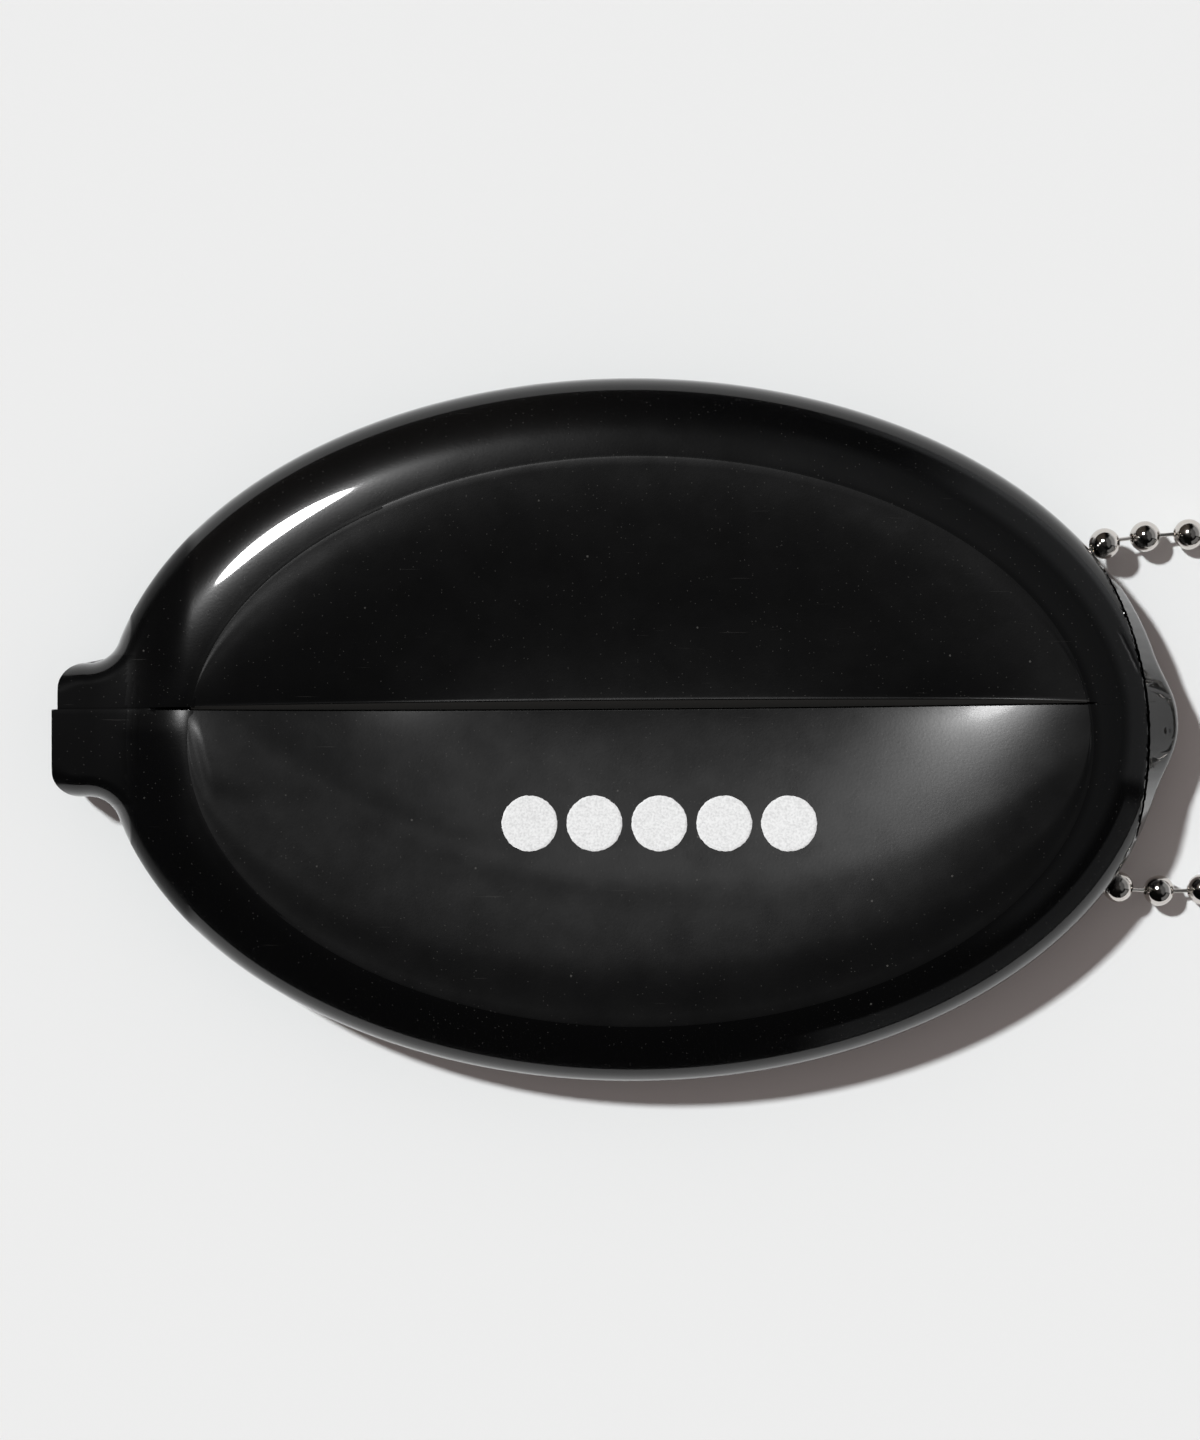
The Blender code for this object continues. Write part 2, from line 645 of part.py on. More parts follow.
def add_clasp(chain, nickel, parent):
    """A trough open towards the tail, its end walls slotted for the two last links."""
    centre = (chain.centres[0] + chain.centres[-1]) / 2
    rotation = Matrix((
        (chain.u[0], chain.v[0], 0.0),
        (chain.u[1], chain.v[1], 0.0),
        (0.0, 0.0, 1.0),
    ))
    outer = trough_profile(CLASP_OUTER_RADIUS, CLASP_LEG, TROUGH_STEPS)
    clasp = add_prism("chain_clasp", outer, CLASP_HALF_LENGTH, nickel, centre, rotation)
    place = clasp.matrix_basis.copy()
    clasp.parent = parent
    clasp.matrix_basis = world_matrix(parent).inverted() @ place
    inner = trough_profile(CLASP_INNER_RADIUS, CLASP_LEG + OVERRUN, TROUGH_STEPS)
    room = CLASP_HALF_LENGTH - CLASP_WALL
    cut(clasp, add_prism("clasp_room_cutter", inner, room, nickel, centre, rotation))
    slot = trough_profile(CLASP_SLOT_HALF, CLASP_LEG + OVERRUN, SLOT_STEPS)
    through = CLASP_HALF_LENGTH + OVERRUN
    cut(clasp, add_prism("clasp_slot_cutter", slot, through, nickel, centre, rotation))
    return clasp


def main():
    clear_scene()
    vinyl = make_material("black_vinyl", (0.012, 0.012, 0.013), 0.28, 0.0)
    nickel = make_material("nickel_plate", (0.60, 0.56, 0.52), 0.12, 1.0)
    chain = Chain()
    add_case(vinyl, chain)
    add_lip("upper_lip", 1, vinyl)
    add_lip("lower_lip", -1, vinyl)
    last_row = add_chain(chain, nickel)
    add_clasp(chain, nickel, last_row)


main()
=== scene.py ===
"""Looks of the oval squeeze coin case on its ball chain, on a pale table under one hard light.

Metres, +Z up, in the CAD's frame: the flat back is at z = 0 and the slit runs along X. Sizes below
are in millimetres and become metres where a mesh is made.
"""

import math

import bmesh
import bpy
import json
import numpy as np
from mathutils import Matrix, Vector

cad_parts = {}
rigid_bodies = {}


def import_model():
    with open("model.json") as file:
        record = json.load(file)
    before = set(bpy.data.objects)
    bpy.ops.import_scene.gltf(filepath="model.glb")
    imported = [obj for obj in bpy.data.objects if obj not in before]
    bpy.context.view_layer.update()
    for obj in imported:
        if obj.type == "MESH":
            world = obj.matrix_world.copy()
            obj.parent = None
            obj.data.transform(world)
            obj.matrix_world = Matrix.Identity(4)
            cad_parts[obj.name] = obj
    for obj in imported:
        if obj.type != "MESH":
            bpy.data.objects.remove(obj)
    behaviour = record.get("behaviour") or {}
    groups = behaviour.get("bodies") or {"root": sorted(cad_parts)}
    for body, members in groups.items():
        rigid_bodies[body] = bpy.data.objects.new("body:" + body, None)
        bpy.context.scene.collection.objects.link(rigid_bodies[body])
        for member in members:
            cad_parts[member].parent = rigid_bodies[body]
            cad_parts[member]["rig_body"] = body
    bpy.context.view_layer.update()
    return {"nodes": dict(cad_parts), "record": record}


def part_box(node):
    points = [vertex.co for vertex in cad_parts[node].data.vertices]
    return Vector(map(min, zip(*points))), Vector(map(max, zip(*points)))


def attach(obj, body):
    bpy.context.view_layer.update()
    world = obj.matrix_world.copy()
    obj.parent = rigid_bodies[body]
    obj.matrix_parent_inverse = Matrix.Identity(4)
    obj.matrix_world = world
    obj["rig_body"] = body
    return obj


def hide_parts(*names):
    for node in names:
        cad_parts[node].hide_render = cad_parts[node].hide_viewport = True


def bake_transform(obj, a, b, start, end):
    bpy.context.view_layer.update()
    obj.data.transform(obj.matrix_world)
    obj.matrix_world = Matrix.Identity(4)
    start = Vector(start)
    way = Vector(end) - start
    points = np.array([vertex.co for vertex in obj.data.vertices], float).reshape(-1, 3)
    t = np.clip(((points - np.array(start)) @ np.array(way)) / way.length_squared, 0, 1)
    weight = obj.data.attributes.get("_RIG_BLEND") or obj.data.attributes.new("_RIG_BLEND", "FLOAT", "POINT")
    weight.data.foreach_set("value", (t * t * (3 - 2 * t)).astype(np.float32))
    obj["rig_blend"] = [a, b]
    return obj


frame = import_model()
MM = 0.001

# Table, light and camera. The table is a smooth pale board under one hard lamp high at the upper
# left and a weak warm fill. A second lamp close by makes the glints. Glossy surfaces see a dark
# room with grey cards at the right, a warm wall at the left and a dim ceiling.
TABLE_SIZE = 3.0
TABLE_DROP = 0.00005
TABLE_COLOUR = (0.80, 0.80, 0.7984, 1.0)
TABLE_ROUGHNESS = 0.9
# Each lamp: its name, the way towards it, its colour, its strength and its width in degrees.
LAMPS = (
    ("key_lamp", (-0.52, 0.39, 1.0), (0.958, 0.992, 1.0), 3.27, 4.0),
    ("glint_lamp", (-0.3346, 0.3988, 1.0), (1.0, 1.0, 1.0), 3.3, 11.0),
)
FILL_COLOUR = (1.0, 0.87, 0.84, 1.0)
FILL_STRENGTH = 0.232
ROOM_STRENGTH = 0.004
# Each card: its name, its span sideways and upwards and the softness of its ends in degrees, its
# colour and its strength.
ROOM_CARDS = (
    ("right", (-13, 60), (-8, 45), (2, 7), (0.96, 0.98, 1.0), 0.28),
    ("right_low", (-12, 70), (-8, 13), (3, 5), (0.96, 0.98, 1.0), 0.38),
    ("upper_right", (-50, 78), (48, 77), (7, 6), (0.96, 0.98, 1.0), 0.11),
    ("lower_right", (-74, -18), (4, 34), (3, 2), (0.97, 0.985, 1.0), 0.18),
    ("left_wall", (92, 176), (-8, 60), (10, 10), (1.0, 0.86, 0.74), 0.055),
    ("ceiling", (-200, 200), (68, 99), (8, 8), (1.0, 0.97, 0.94), 0.018),
)
BACKDROP_STRENGTH = 0.85
CAMERA_PLACE = (-0.0034, 0.0010, 0.5012)
CAMERA_LENS = 120.0
CAMERA_NEAR = 0.01

table_mesh = bpy.data.meshes.new("table")
half = TABLE_SIZE / 2
corners = [(-half, -half, 0), (half, -half, 0), (half, half, 0), (-half, half, 0)]
table_mesh.from_pydata([(x, y, z - TABLE_DROP) for x, y, z in corners], [], [(0, 1, 2, 3)])
table = bpy.data.objects.new("table", table_mesh)
bpy.context.scene.collection.objects.link(table)


def node(tree, kind, values, result=0, **settings):
    """A new node's result. Its settings are made, and each of its sockets gets a number or colour,
    or a link where the value is itself a socket."""
    made = tree.nodes.new("ShaderNode" + kind)
    for setting, value in settings.items():
        setattr(made, setting, value)
    for key, value in values.items():
        if isinstance(value, bpy.types.NodeSocket):
            tree.links.new(value, made.inputs[key])
        else:
            made.inputs[key].default_value = value
    return made.outputs[result]


def worked(tree, operation, *values, **settings):
    """One step of arithmetic on sockets or numbers."""
    return node(tree, "Math", dict(enumerate(values)), operation=operation, **settings)


def ramp(tree, value, start, end, low=0.0, high=1.0, form="SMOOTHSTEP"):
    """A value's way from low at the start to high at the end, held at both."""
    sockets = {"Value": value, "From Min": start, "From Max": end, "To Min": low, "To Max": high}
    return node(tree, "MapRange", sockets, "Result", interpolation_type=form)


def new_material(name):
    """A material with its tree of nodes and its shader's sockets."""
    material = bpy.data.materials.new(name)
    material.use_nodes = True
    return material, material.node_tree, material.node_tree.nodes["Principled BSDF"].inputs


board, _, surface = new_material("table_board")
surface["Roughness"].default_value = TABLE_ROUGHNESS
surface["Specular IOR Level"].default_value = 0.0
surface["Base Color"].default_value = TABLE_COLOUR
table_mesh.materials.append(board)

for name, towards, colour, strength, angle in LAMPS:
    lamp = bpy.data.lights.new(name, "SUN")
    lamp.energy = strength
    lamp.color = colour
    lamp.angle = math.radians(angle)
    lamp_object = bpy.data.objects.new(name, lamp)
    lamp_object.rotation_euler = Vector(towards).to_track_quat("Z", "Y").to_euler()
    lamp_object.visible_glossy = name == "glint_lamp"
    lamp_object.visible_diffuse = name == "key_lamp"
    bpy.context.scene.collection.objects.link(lamp_object)


def window(tree, value, span, soft):
    """1 inside a span of values and 0 outside it, with smooth ends."""
    opened = ramp(tree, value, span[0] - soft[0], span[0] + soft[0])
    closed = ramp(tree, value, span[1] + soft[1], span[1] - soft[1])
    return worked(tree, "MULTIPLY", opened, closed)


world = bpy.data.worlds.new("room")
world.use_nodes = True
tree = world.node_tree
fill = tree.nodes["Background"]
fill.inputs["Color"].default_value = FILL_COLOUR
fill.inputs["Strength"].default_value = FILL_STRENGTH
split = tree.nodes.new("ShaderNodeSeparateXYZ")
tree.links.new(node(tree, "TexCoord", {}, "Generated"), split.inputs["Vector"])
azimuth = worked(tree, "ARCTAN2", split.outputs["Y"], split.outputs["X"])
elevation = worked(tree, "ARCSINE", split.outputs["Z"])
glossy_room = node(tree, "Background", {"Strength": ROOM_STRENGTH})
for name, sideways, upwards, soft, colour, strength in ROOM_CARDS:
    across = window(tree, azimuth, np.radians(sideways), np.radians(soft))
    upright = window(tree, elevation, np.radians(upwards), np.radians(soft))
    glow = worked(tree, "MULTIPLY", worked(tree, "MULTIPLY", across, upright), strength)
    card = node(tree, "Background", {"Color": (*colour, 1.0), "Strength": glow}, name=name)
    glossy_room = node(tree, "AddShader", {0: glossy_room, 1: card})
backdrop = node(tree, "Background", {"Strength": BACKDROP_STRENGTH})
path = tree.nodes.new("ShaderNodeLightPath").outputs
lit = node(tree, "MixShader", {"Fac": path["Is Glossy Ray"], 1: fill.outputs[0], 2: glossy_room})
seen = node(tree, "MixShader", {"Fac": path["Is Camera Ray"], 1: lit, 2: backdrop})
tree.links.new(seen, tree.nodes["World Output"].inputs["Surface"])
bpy.context.scene.world = world

camera = bpy.data.cameras.new("camera")
camera.lens = CAMERA_LENS
camera.clip_start = CAMERA_NEAR
camera_object = bpy.data.objects.new("camera", camera)
camera_object.location = CAMERA_PLACE
bpy.context.scene.collection.objects.link(camera_object)
bpy.context.scene.camera = camera_object
bpy.context.scene.view_settings.view_transform = "Standard"

# Case body: one black vinyl moulding, dipped and cured hollow, with its back flat and its shoulder
# rounded up to a soft crease. The neck is cut off square, and the tail shows where the two
# half shells of the mould met: a ragged trimmed line with a tab of flash beyond it.
OVAL_LENGTH, OVAL_WIDTH = 54.7, 36.2
CREASE_LENGTH, CREASE_WIDTH, CREASE_MIDDLE, CREASE_OFFSET = 46.0, 28.8, 0.6, -1.2
WIDEST = 6.2
WALL = 1.6
SHOULDER_RISE, SHOULDER_REACH = 6.97, 16.5
TURN_PLACE, TURN_WIDTH, TURN_SLOPE = 5.45, 0.8, 0.036
FOOT_REACH = 5.0
NECK_WIDTH, NECK_FILLET, NECK_CORNER = 6.9, 3.3, 2.6
NECK_LOWER_STRAIGHT, NECK_UPPER_STRAIGHT = 0.8, 0.2
NECK_FAR = -80.0
NECK_START, NECK_FULL = -45.0, -55.5
NECK_RISE, NECK_EDGE_REACH, NECK_CROWN = 4.3, 2.3, 0.15
NECK_BACK_LOSS = 0.36
CORNER_BLEND = 0.68
TAB_REACH, TAB_MIDDLE, TAB_SPREAD = 1.5, 0.35, 7.8
TAB_SIDE_REACH, TAB_SIDE_START, TAB_SIDE_END, TAB_SIDE_FADE = 0.3, 4.0, 18.5, 5.0
TAB_FADE, TAB_EVEN, TAB_ROUNDING = 0.7, 0.76, 20
SEAM_INSET, SEAM_MIDDLE, SEAM_ABOVE, SEAM_BELOW, SEAM_BOW = 2.05, 1.5, 16.5, 14.5, 2.2
SEAM_DEPTH, SEAM_HALF_WIDTH, SEAM_STEP = 0.6, 0.17, 0.12
SEAM_RAGGED, SEAM_WAVES, SEAM_RAGGED_FADE = 0.045, (170, 263, 391, 477), 12
SEAM_GRAIN, SEAM_SPECK_SHARE, SEAM_SPECK = 0.03, 0.17, 0.12
SCORE_Y, SCORE_SLOPE, SCORE_REACH, SCORE_DEPTH, SCORE_WIDTH = 5.6, 0.24, 5.4, 0.12, 0.16
SCORE_START, SCORE_FADE, SCORE_OFFSET = 1.0, 2.0, 0.35
DIMPLE, DIMPLE_RADIUS, DIMPLE_DEPTH = (54.85, -0.1), 0.32, 0.12
PLAIN_RING = 0.6
SLIT_Y, SLIT_TILT = 2.42, 0.00573
SLIT_LEFT_WIDTH, SLIT_RIGHT_WIDTH = 0.36, 0.30
GROOVE_HALF_WIDTH, GROOVE_DEPTH = 0.05, 0.015
NECK_CUT_START, NECK_CUT_REACH = 0.66, 0.3
TAIL_CUT_START, TAIL_CUT_REACH, TAIL_CUT_RISE = 0.9, 0.1, 12
DIP_DEPTH, DIP_REACH, DIP_FADE, DIP_MIDDLE, DIP_SPREAD = 0.79, 3.09, 6.0, 30.9, 11.0
DIP_LEFT_SPREAD = 21.0
CREASE_BEAD, CREASE_BEAD_START, CREASE_BEAD_RISE = 0.02, -34.0, 14.0
CREASE_TURN_IN, CREASE_TURN_DOWN = 0.35, 0.02
RIB_TURN, HALVINGS = 14.0, 60
FIRST_SHARES, EVEN_SHARES_FROM = (0.0, 0.0006, 0.0015, 0.003, 0.005, 0.008), 0.0115
EDGE_CROWDING, SHOULDER_CROWDING, FOOT_CROWDING = 1.6, 1.25, 1.6
NEAREST_BATCH = 4000
OVAL_SAMPLES, FILLET_SAMPLES, CORNER_SAMPLES, END_SAMPLES = 420, 22, 30, 14
EDGE_RINGS, SHOULDER_RINGS, FOOT_RINGS, INNER_RINGS = 22, 44, 14, 8


def smooth(share):
    """Smooth step: 3s^2 - 2s^3 with s held between 0 and 1."""
    share = np.clip(share, 0.0, 1.0)
    return share * share * (3.0 - 2.0 * share)


def wander(count, waves, seed):
    """A seeded closed curve, about -1 to 1: a sum of sines with random phases."""
    phases = np.random.default_rng(seed).uniform(0, 2 * math.pi, len(waves))
    turn = np.arange(count) / count * 2 * math.pi
    return np.sin(np.outer(turn, waves) + phases).sum(axis=1) / math.sqrt(len(waves))


def quarter(share, power=2):
    """A quarter ellipse, (1 - (1 - s)^power)^(1/2): upright at 0, and level when s reaches 1."""
    return np.sqrt(1 - (1 - share) ** power)


def slit_middle(x):
    """The slit's middle line, which is straight and a little tilted."""
    return SLIT_Y + SLIT_TILT * x


def slit_half_width(x):
    """Half the slit's width: it narrows evenly from the neck's end to the tail's."""
    share = (x + CREASE_LENGTH) / (2 * CREASE_LENGTH)
    return (SLIT_LEFT_WIDTH + (SLIT_RIGHT_WIDTH - SLIT_LEFT_WIDTH) * np.clip(share, 0, 1)) / 2


def shoulder(distance):
    """Height over the widest line, a cubic superellipse: rise * (1 - (1 - d/reach)^3)^(1/3). Round
    one line the slope turns faster, by a hyperbolic tangent, whose sum along the way is the
    logarithm of a hyperbolic cosine."""
    share = np.clip(distance / SHOULDER_REACH, 0.0, 1.0)
    start = math.log(math.cosh(TURN_PLACE / TURN_WIDTH))
    here = np.log(np.cosh((np.clip(distance, 0, None) - TURN_PLACE) / TURN_WIDTH))
    return SHOULDER_RISE * np.cbrt(1 - (1 - share) ** 3) + TURN_SLOPE * TURN_WIDTH * (start - here)


def tab(y):
    """How far the tab of flash stands out: a bell round its middle, and a thin upper side."""
    bell = np.clip(np.abs(y - TAB_MIDDLE) / TAB_SPREAD, 0, 1)
    side = smooth((y - TAB_MIDDLE) / TAB_SIDE_START) * smooth((TAB_SIDE_END - y) / TAB_SIDE_FADE)
    return TAB_REACH * (1 + np.cos(math.pi * bell)) / 2 + TAB_SIDE_REACH * side


def half_outline(side):
    """Half of the widest line, from the tail's slit to the neck's: x, y and each rib's angle."""
    start_y = slit_middle(OVAL_LENGTH) + side * GROOVE_HALF_WIDTH
    end_y = slit_middle(-OVAL_LENGTH) + side * GROOVE_HALF_WIDTH
    fillet_y = NECK_WIDTH + NECK_FILLET
    low, high = math.pi / 2, math.pi
    for _ in range(HALVINGS):
        middle = (low + high) / 2
        normal = np.array([OVAL_WIDTH * math.cos(middle), OVAL_LENGTH * math.sin(middle)])
        reach = OVAL_WIDTH * math.sin(middle) + NECK_FILLET * (normal / np.linalg.norm(normal))[1]
        low, high = (middle, high) if reach > fillet_y else (low, middle)
    tangent = low
    normal = np.array([OVAL_WIDTH * math.cos(tangent), OVAL_LENGTH * math.sin(tangent)])
    normal /= np.linalg.norm(normal)
    centre_x = OVAL_LENGTH * math.cos(tangent) + NECK_FILLET * normal[0]
    start = side * math.asin(start_y / OVAL_WIDTH)
    shares = np.concatenate([FIRST_SHARES, np.linspace(EVEN_SHARES_FROM, 1.0, OVAL_SAMPLES)[:-1]])
    angles = start + (tangent - start) * shares
    x = OVAL_LENGTH * np.cos(angles)
    y = side * OVAL_WIDTH * np.sin(angles)
    on_oval = np.where(x > 0, 1.0, 0.0)
    x = x + tab(y) * on_oval
    turns = np.linspace(math.atan2(-normal[1], -normal[0]), -math.pi / 2, FILLET_SAMPLES)
    x_fillet = centre_x + NECK_FILLET * np.cos(turns)
    y_fillet = fillet_y + NECK_FILLET * np.sin(turns)
    straight = NECK_UPPER_STRAIGHT if side > 0 else NECK_LOWER_STRAIGHT
    corner_x = centre_x - straight
    corner_y = NECK_WIDTH - NECK_CORNER
    turns = np.linspace(math.pi / 2, math.pi, CORNER_SAMPLES)
    x_corner = corner_x + NECK_CORNER * np.cos(turns)
    y_corner = corner_y + NECK_CORNER * np.sin(turns)
    y_end = np.linspace(corner_y, side * end_y, END_SAMPLES)[1:]
    x_end = np.full(len(y_end), corner_x - NECK_CORNER)
    xs = np.concatenate([x, x_fillet, x_corner, x_end])
    ys = np.concatenate([y, side * y_fillet, side * y_corner, side * y_end])
    by_height = np.arcsin(np.clip((side * ys - side * CREASE_OFFSET) / CREASE_WIDTH, -1, 1))
    left = xs < 0
    by_height = np.where(left, math.pi - by_height, by_height)
    by_turn = np.concatenate([angles, np.full(len(xs) - len(angles), tangent)])
    share = smooth((np.abs(ys) - fillet_y) / RIB_TURN)
    crease_angle = side * (by_height + (by_turn - by_height) * share)
    return xs, ys, crease_angle, corner_x, len(angles)


upper = half_outline(1)
lower = half_outline(-1)

tail_x, neck_x = min(upper[0][0], lower[0][0]), max(upper[0][-1], lower[0][-1])
tail_y, neck_y = slit_middle(OVAL_LENGTH), slit_middle(-OVAL_LENGTH)
outline_x = np.concatenate([upper[0], [neck_x], lower[0][::-1], [tail_x]])
outline_y = np.concatenate([upper[1], [neck_y], lower[1][::-1], [tail_y]])
count = len(outline_x)
upper_count = len(upper[0])
neck_groove, tail_groove = upper_count, count - 1
crease_angle = np.zeros(count)
crease_angle[:upper_count] = upper[2]
crease_angle[upper_count + 1 : -1] = 2 * math.pi + lower[2][::-1]
crease_angle[neck_groove] = math.pi
crease_x = CREASE_MIDDLE + CREASE_LENGTH * np.cos(crease_angle)
crease_y = CREASE_OFFSET + CREASE_WIDTH * np.sin(crease_angle)
for index, side in (
    (0, 1), (upper_count - 1, 1), (upper_count + 1, -1), (count - 2, -1),
    (neck_groove, 0), (tail_groove, 0),
):
    way = math.copysign(1.0, outline_x[index])
    y = slit_middle(crease_x[index]) + side * slit_half_width(crease_x[index])
    crease_y[index] = y
    reach = CREASE_LENGTH * math.sqrt(1 - ((y - CREASE_OFFSET) / CREASE_WIDTH) ** 2)
    crease_x[index] = CREASE_MIDDLE + way * reach


def distance_to(x, y, line_x, line_y):
    """Shortest distance from points to an open line of short straight pieces."""
    result = np.empty(len(x))
    start = np.column_stack([line_x, line_y])
    step = np.diff(start, axis=0)
    length = (step**2).sum(axis=1)
    for first in range(0, len(x), NEAREST_BATCH):
        batch = slice(first, first + NEAREST_BATCH)
        points = np.column_stack([x[batch], y[batch]])
        gap = ((points[:, None, :] - start[None]) ** 2).sum(axis=2)
        nearest = gap.argmin(axis=1)
        best = np.sqrt(gap.min(axis=1))
        for piece in (np.clip(nearest - 1, 0, len(step) - 1), np.clip(nearest, 0, len(step) - 1)):
            share = ((points - start[piece]) * step[piece]).sum(axis=1) / length[piece]
            foot = start[piece] + np.clip(share, 0, 1)[:, None] * step[piece]
            best = np.minimum(best, np.linalg.norm(points - foot, axis=1))
        result[batch] = best
    return result


def plain_line(half_line, extended):
    """A half's outline without its tab. The neck's side ends at its corner, or runs on straight."""
    xs, ys, _, corner_x, oval_count = half_line
    xs = xs - np.where(xs > 0, tab(ys), 0)
    keep = oval_count + FILLET_SAMPLES
    if extended:
        side = math.copysign(1.0, ys[keep - 1])
        run = np.linspace(corner_x, NECK_FAR, 60)
        return np.append(xs[:keep], run), np.append(ys[:keep], np.full(60, side * NECK_WIDTH))
    corner = keep + CORNER_SAMPLES
    return xs[:corner], ys[:corner]


def edge_distance(x, y):
    """Distance in from the moulded edge, negative outside the oval at the tail. At the neck's
    corners it is a blend of the distance to the rounded corner and to the side as if it ran on."""
    found = []
    for extended in (False, True):
        lines = [plain_line(half_line, extended) for half_line in (upper, lower)]
        found.append(np.minimum(*[distance_to(x, y, *line) for line in lines]))
    distance = found[0] + (found[1] - found[0]) * CORNER_BLEND
    outside = (x > 0) & ((x / OVAL_LENGTH) ** 2 + (y / OVAL_WIDTH) ** 2 > 1)
    return np.where(outside, -distance, distance)


def neck_share(x):
    """0 on the oval and 1 on the neck, a smooth step along the length."""
    return smooth((NECK_START - x) / (NECK_START - NECK_FULL))


def softened(distance, x):
    """The distance levels off towards the neck's middle, so that the neck has no ridge."""
    return distance * (1 - neck_share(x) * np.clip(distance, 0, NECK_WIDTH) / (2 * NECK_WIDTH))


def dip(x, y, distance):
    """A shallow valley beside both ends of the slit, where the front sinks most sharply: a bell
    along the slit, times an exponential fall away from it."""
    spread = np.where(x < -DIP_MIDDLE, DIP_LEFT_SPREAD, DIP_SPREAD)
    ends = np.exp(-(((np.abs(x) - DIP_MIDDLE) / spread) ** 2)) * (1 - neck_share(x))
    fall = np.exp(-np.abs(y - slit_middle(x)) / DIP_REACH)
    return DIP_DEPTH * ends * fall * smooth(distance / DIP_FADE)


def neck_top(distance):
    """The neck's height over the widest line: a quarter ellipse at its sides, and a faint crown."""
    share = np.clip(distance / NECK_EDGE_REACH, 0, 1)
    crown = np.sin(math.pi / 2 * np.clip(distance / NECK_WIDTH, 0, 1))
    return NECK_RISE * quarter(share) + NECK_CROWN * crown


def top_height(x, y, distance):
    """The moulding's top at a point and its distance in from the edge."""
    share = neck_share(x)
    rise = (1 - share) * shoulder(softened(distance, x)) + share * neck_top(distance)
    return WIDEST + rise - dip(x, y, distance)


def back_height(x, distance):
    """The moulding's underside: a quarter ellipse from the widest line in to the flat back."""
    share = np.clip(softened(distance, x) / FOOT_REACH, 0.0, 1.0)
    return WIDEST - WIDEST * (1 - NECK_BACK_LOSS * neck_share(x)) * quarter(share)


crease_distance = edge_distance(crease_x, crease_y)
crease_z = top_height(crease_x, crease_y, crease_distance)
rib_x, rib_y = crease_x - outline_x, crease_y - outline_y
rib_length = np.hypot(rib_x, rib_y)
seam_spread = np.where(outline_y > SEAM_MIDDLE, SEAM_ABOVE, SEAM_BELOW)
seam_bow = np.abs((outline_y - SEAM_MIDDLE) / seam_spread) ** SEAM_BOW
seam_inset = SEAM_INSET * np.clip(1 - seam_bow, 0, 1)
seam_inset = np.where(outline_x > 0, seam_inset, 0.0)
seam_run = seam_inset + np.where(outline_x > 0, tab(outline_y), 0.0)
ragged = SEAM_RAGGED * wander(count, SEAM_WAVES, 5) * smooth(seam_run)
tabness = np.where(outline_x > 0, smooth(seam_run / TAB_FADE), 0.0)
edge_run = np.where(outline_x > 0, np.maximum(seam_run, PLAIN_RING * (1 - tabness)), PLAIN_RING)
shares = []
for j in range(EDGE_RINGS):
    near_seam = j / (EDGE_RINGS - 1)
    even = (edge_run - SEAM_HALF_WIDTH) * near_seam**EDGE_CROWDING
    shares.append(even + ragged * near_seam**SEAM_RAGGED_FADE)
edge_run = edge_run + ragged
shares.append(edge_run)
for j in range(SHOULDER_RINGS + 1):
    start = edge_run + SEAM_HALF_WIDTH
    shares.append(start + (rib_length - start) * (j / SHOULDER_RINGS) ** SHOULDER_CROWDING)
runs = np.array(shares)
ring_x = outline_x + rib_x * runs / rib_length
ring_y = outline_y + rib_y * runs / rib_length
distance = edge_distance(ring_x.ravel(), ring_y.ravel()).reshape(ring_x.shape)
ring_z = top_height(ring_x, ring_y, np.maximum(distance, 0.0))
seam_top = WIDEST + shoulder(seam_inset)
along_tab = np.clip(runs / edge_run, 0, 1)
tab_fall = seam_top - SEAM_STEP - WIDEST
rounded = quarter(along_tab, TAB_ROUNDING)
tab_z = WIDEST + tab_fall * (TAB_EVEN * along_tab + (1 - TAB_EVEN) * rounded)
before_seam = np.arange(len(runs))[:, None] < EDGE_RINGS
ring_z = np.where(before_seam, ring_z + (tab_z - ring_z) * tabness, ring_z)
draw = np.random.default_rng(11)
ring_z[EDGE_RINGS : EDGE_RINGS + 2] += draw.normal(0, SEAM_GRAIN, (2, count)) * tabness
specked = draw.uniform(size=count) < SEAM_SPECK_SHARE
ring_z[EDGE_RINGS + 1] += np.where(specked, SEAM_SPECK, 0.0) * tabness
ring_z[EDGE_RINGS] -= SEAM_DEPTH * tabness
score_place = edge_run + SCORE_SLOPE * np.clip(outline_y - SCORE_Y, 0, None)
score_end = smooth((SCORE_Y + SCORE_REACH - outline_y) / SCORE_FADE)
scored = smooth((outline_y - SCORE_Y) / SCORE_START) * score_end * (outline_x > 0)
off_score = (runs - score_place - SCORE_OFFSET) / SCORE_WIDTH
ring_z -= SCORE_DEPTH * scored * np.exp(-(off_score**2))
dimple = np.hypot(ring_x - DIMPLE[0], ring_y - DIMPLE[1]) / DIMPLE_RADIUS
ring_z -= DIMPLE_DEPTH * np.exp(-(dimple**2)) * before_seam
groove_run = runs[:, neck_groove] / rib_length[neck_groove]
cut_depth = (WALL - GROOVE_DEPTH) * smooth((groove_run - NECK_CUT_START) / NECK_CUT_REACH)
ring_z[:, neck_groove] -= GROOVE_DEPTH + cut_depth
groove_run = runs[:, tail_groove] / rib_length[tail_groove]
cut_depth = (WALL - GROOVE_DEPTH) * smooth((groove_run - TAIL_CUT_START) / TAIL_CUT_REACH)
ring_z[:, tail_groove] -= (GROOVE_DEPTH + cut_depth) * smooth(groove_run * TAIL_CUT_RISE)
ring_z[-1] += CREASE_BEAD * smooth((crease_x - CREASE_BEAD_START) / CREASE_BEAD_RISE)
crease_z = ring_z[-1].copy()

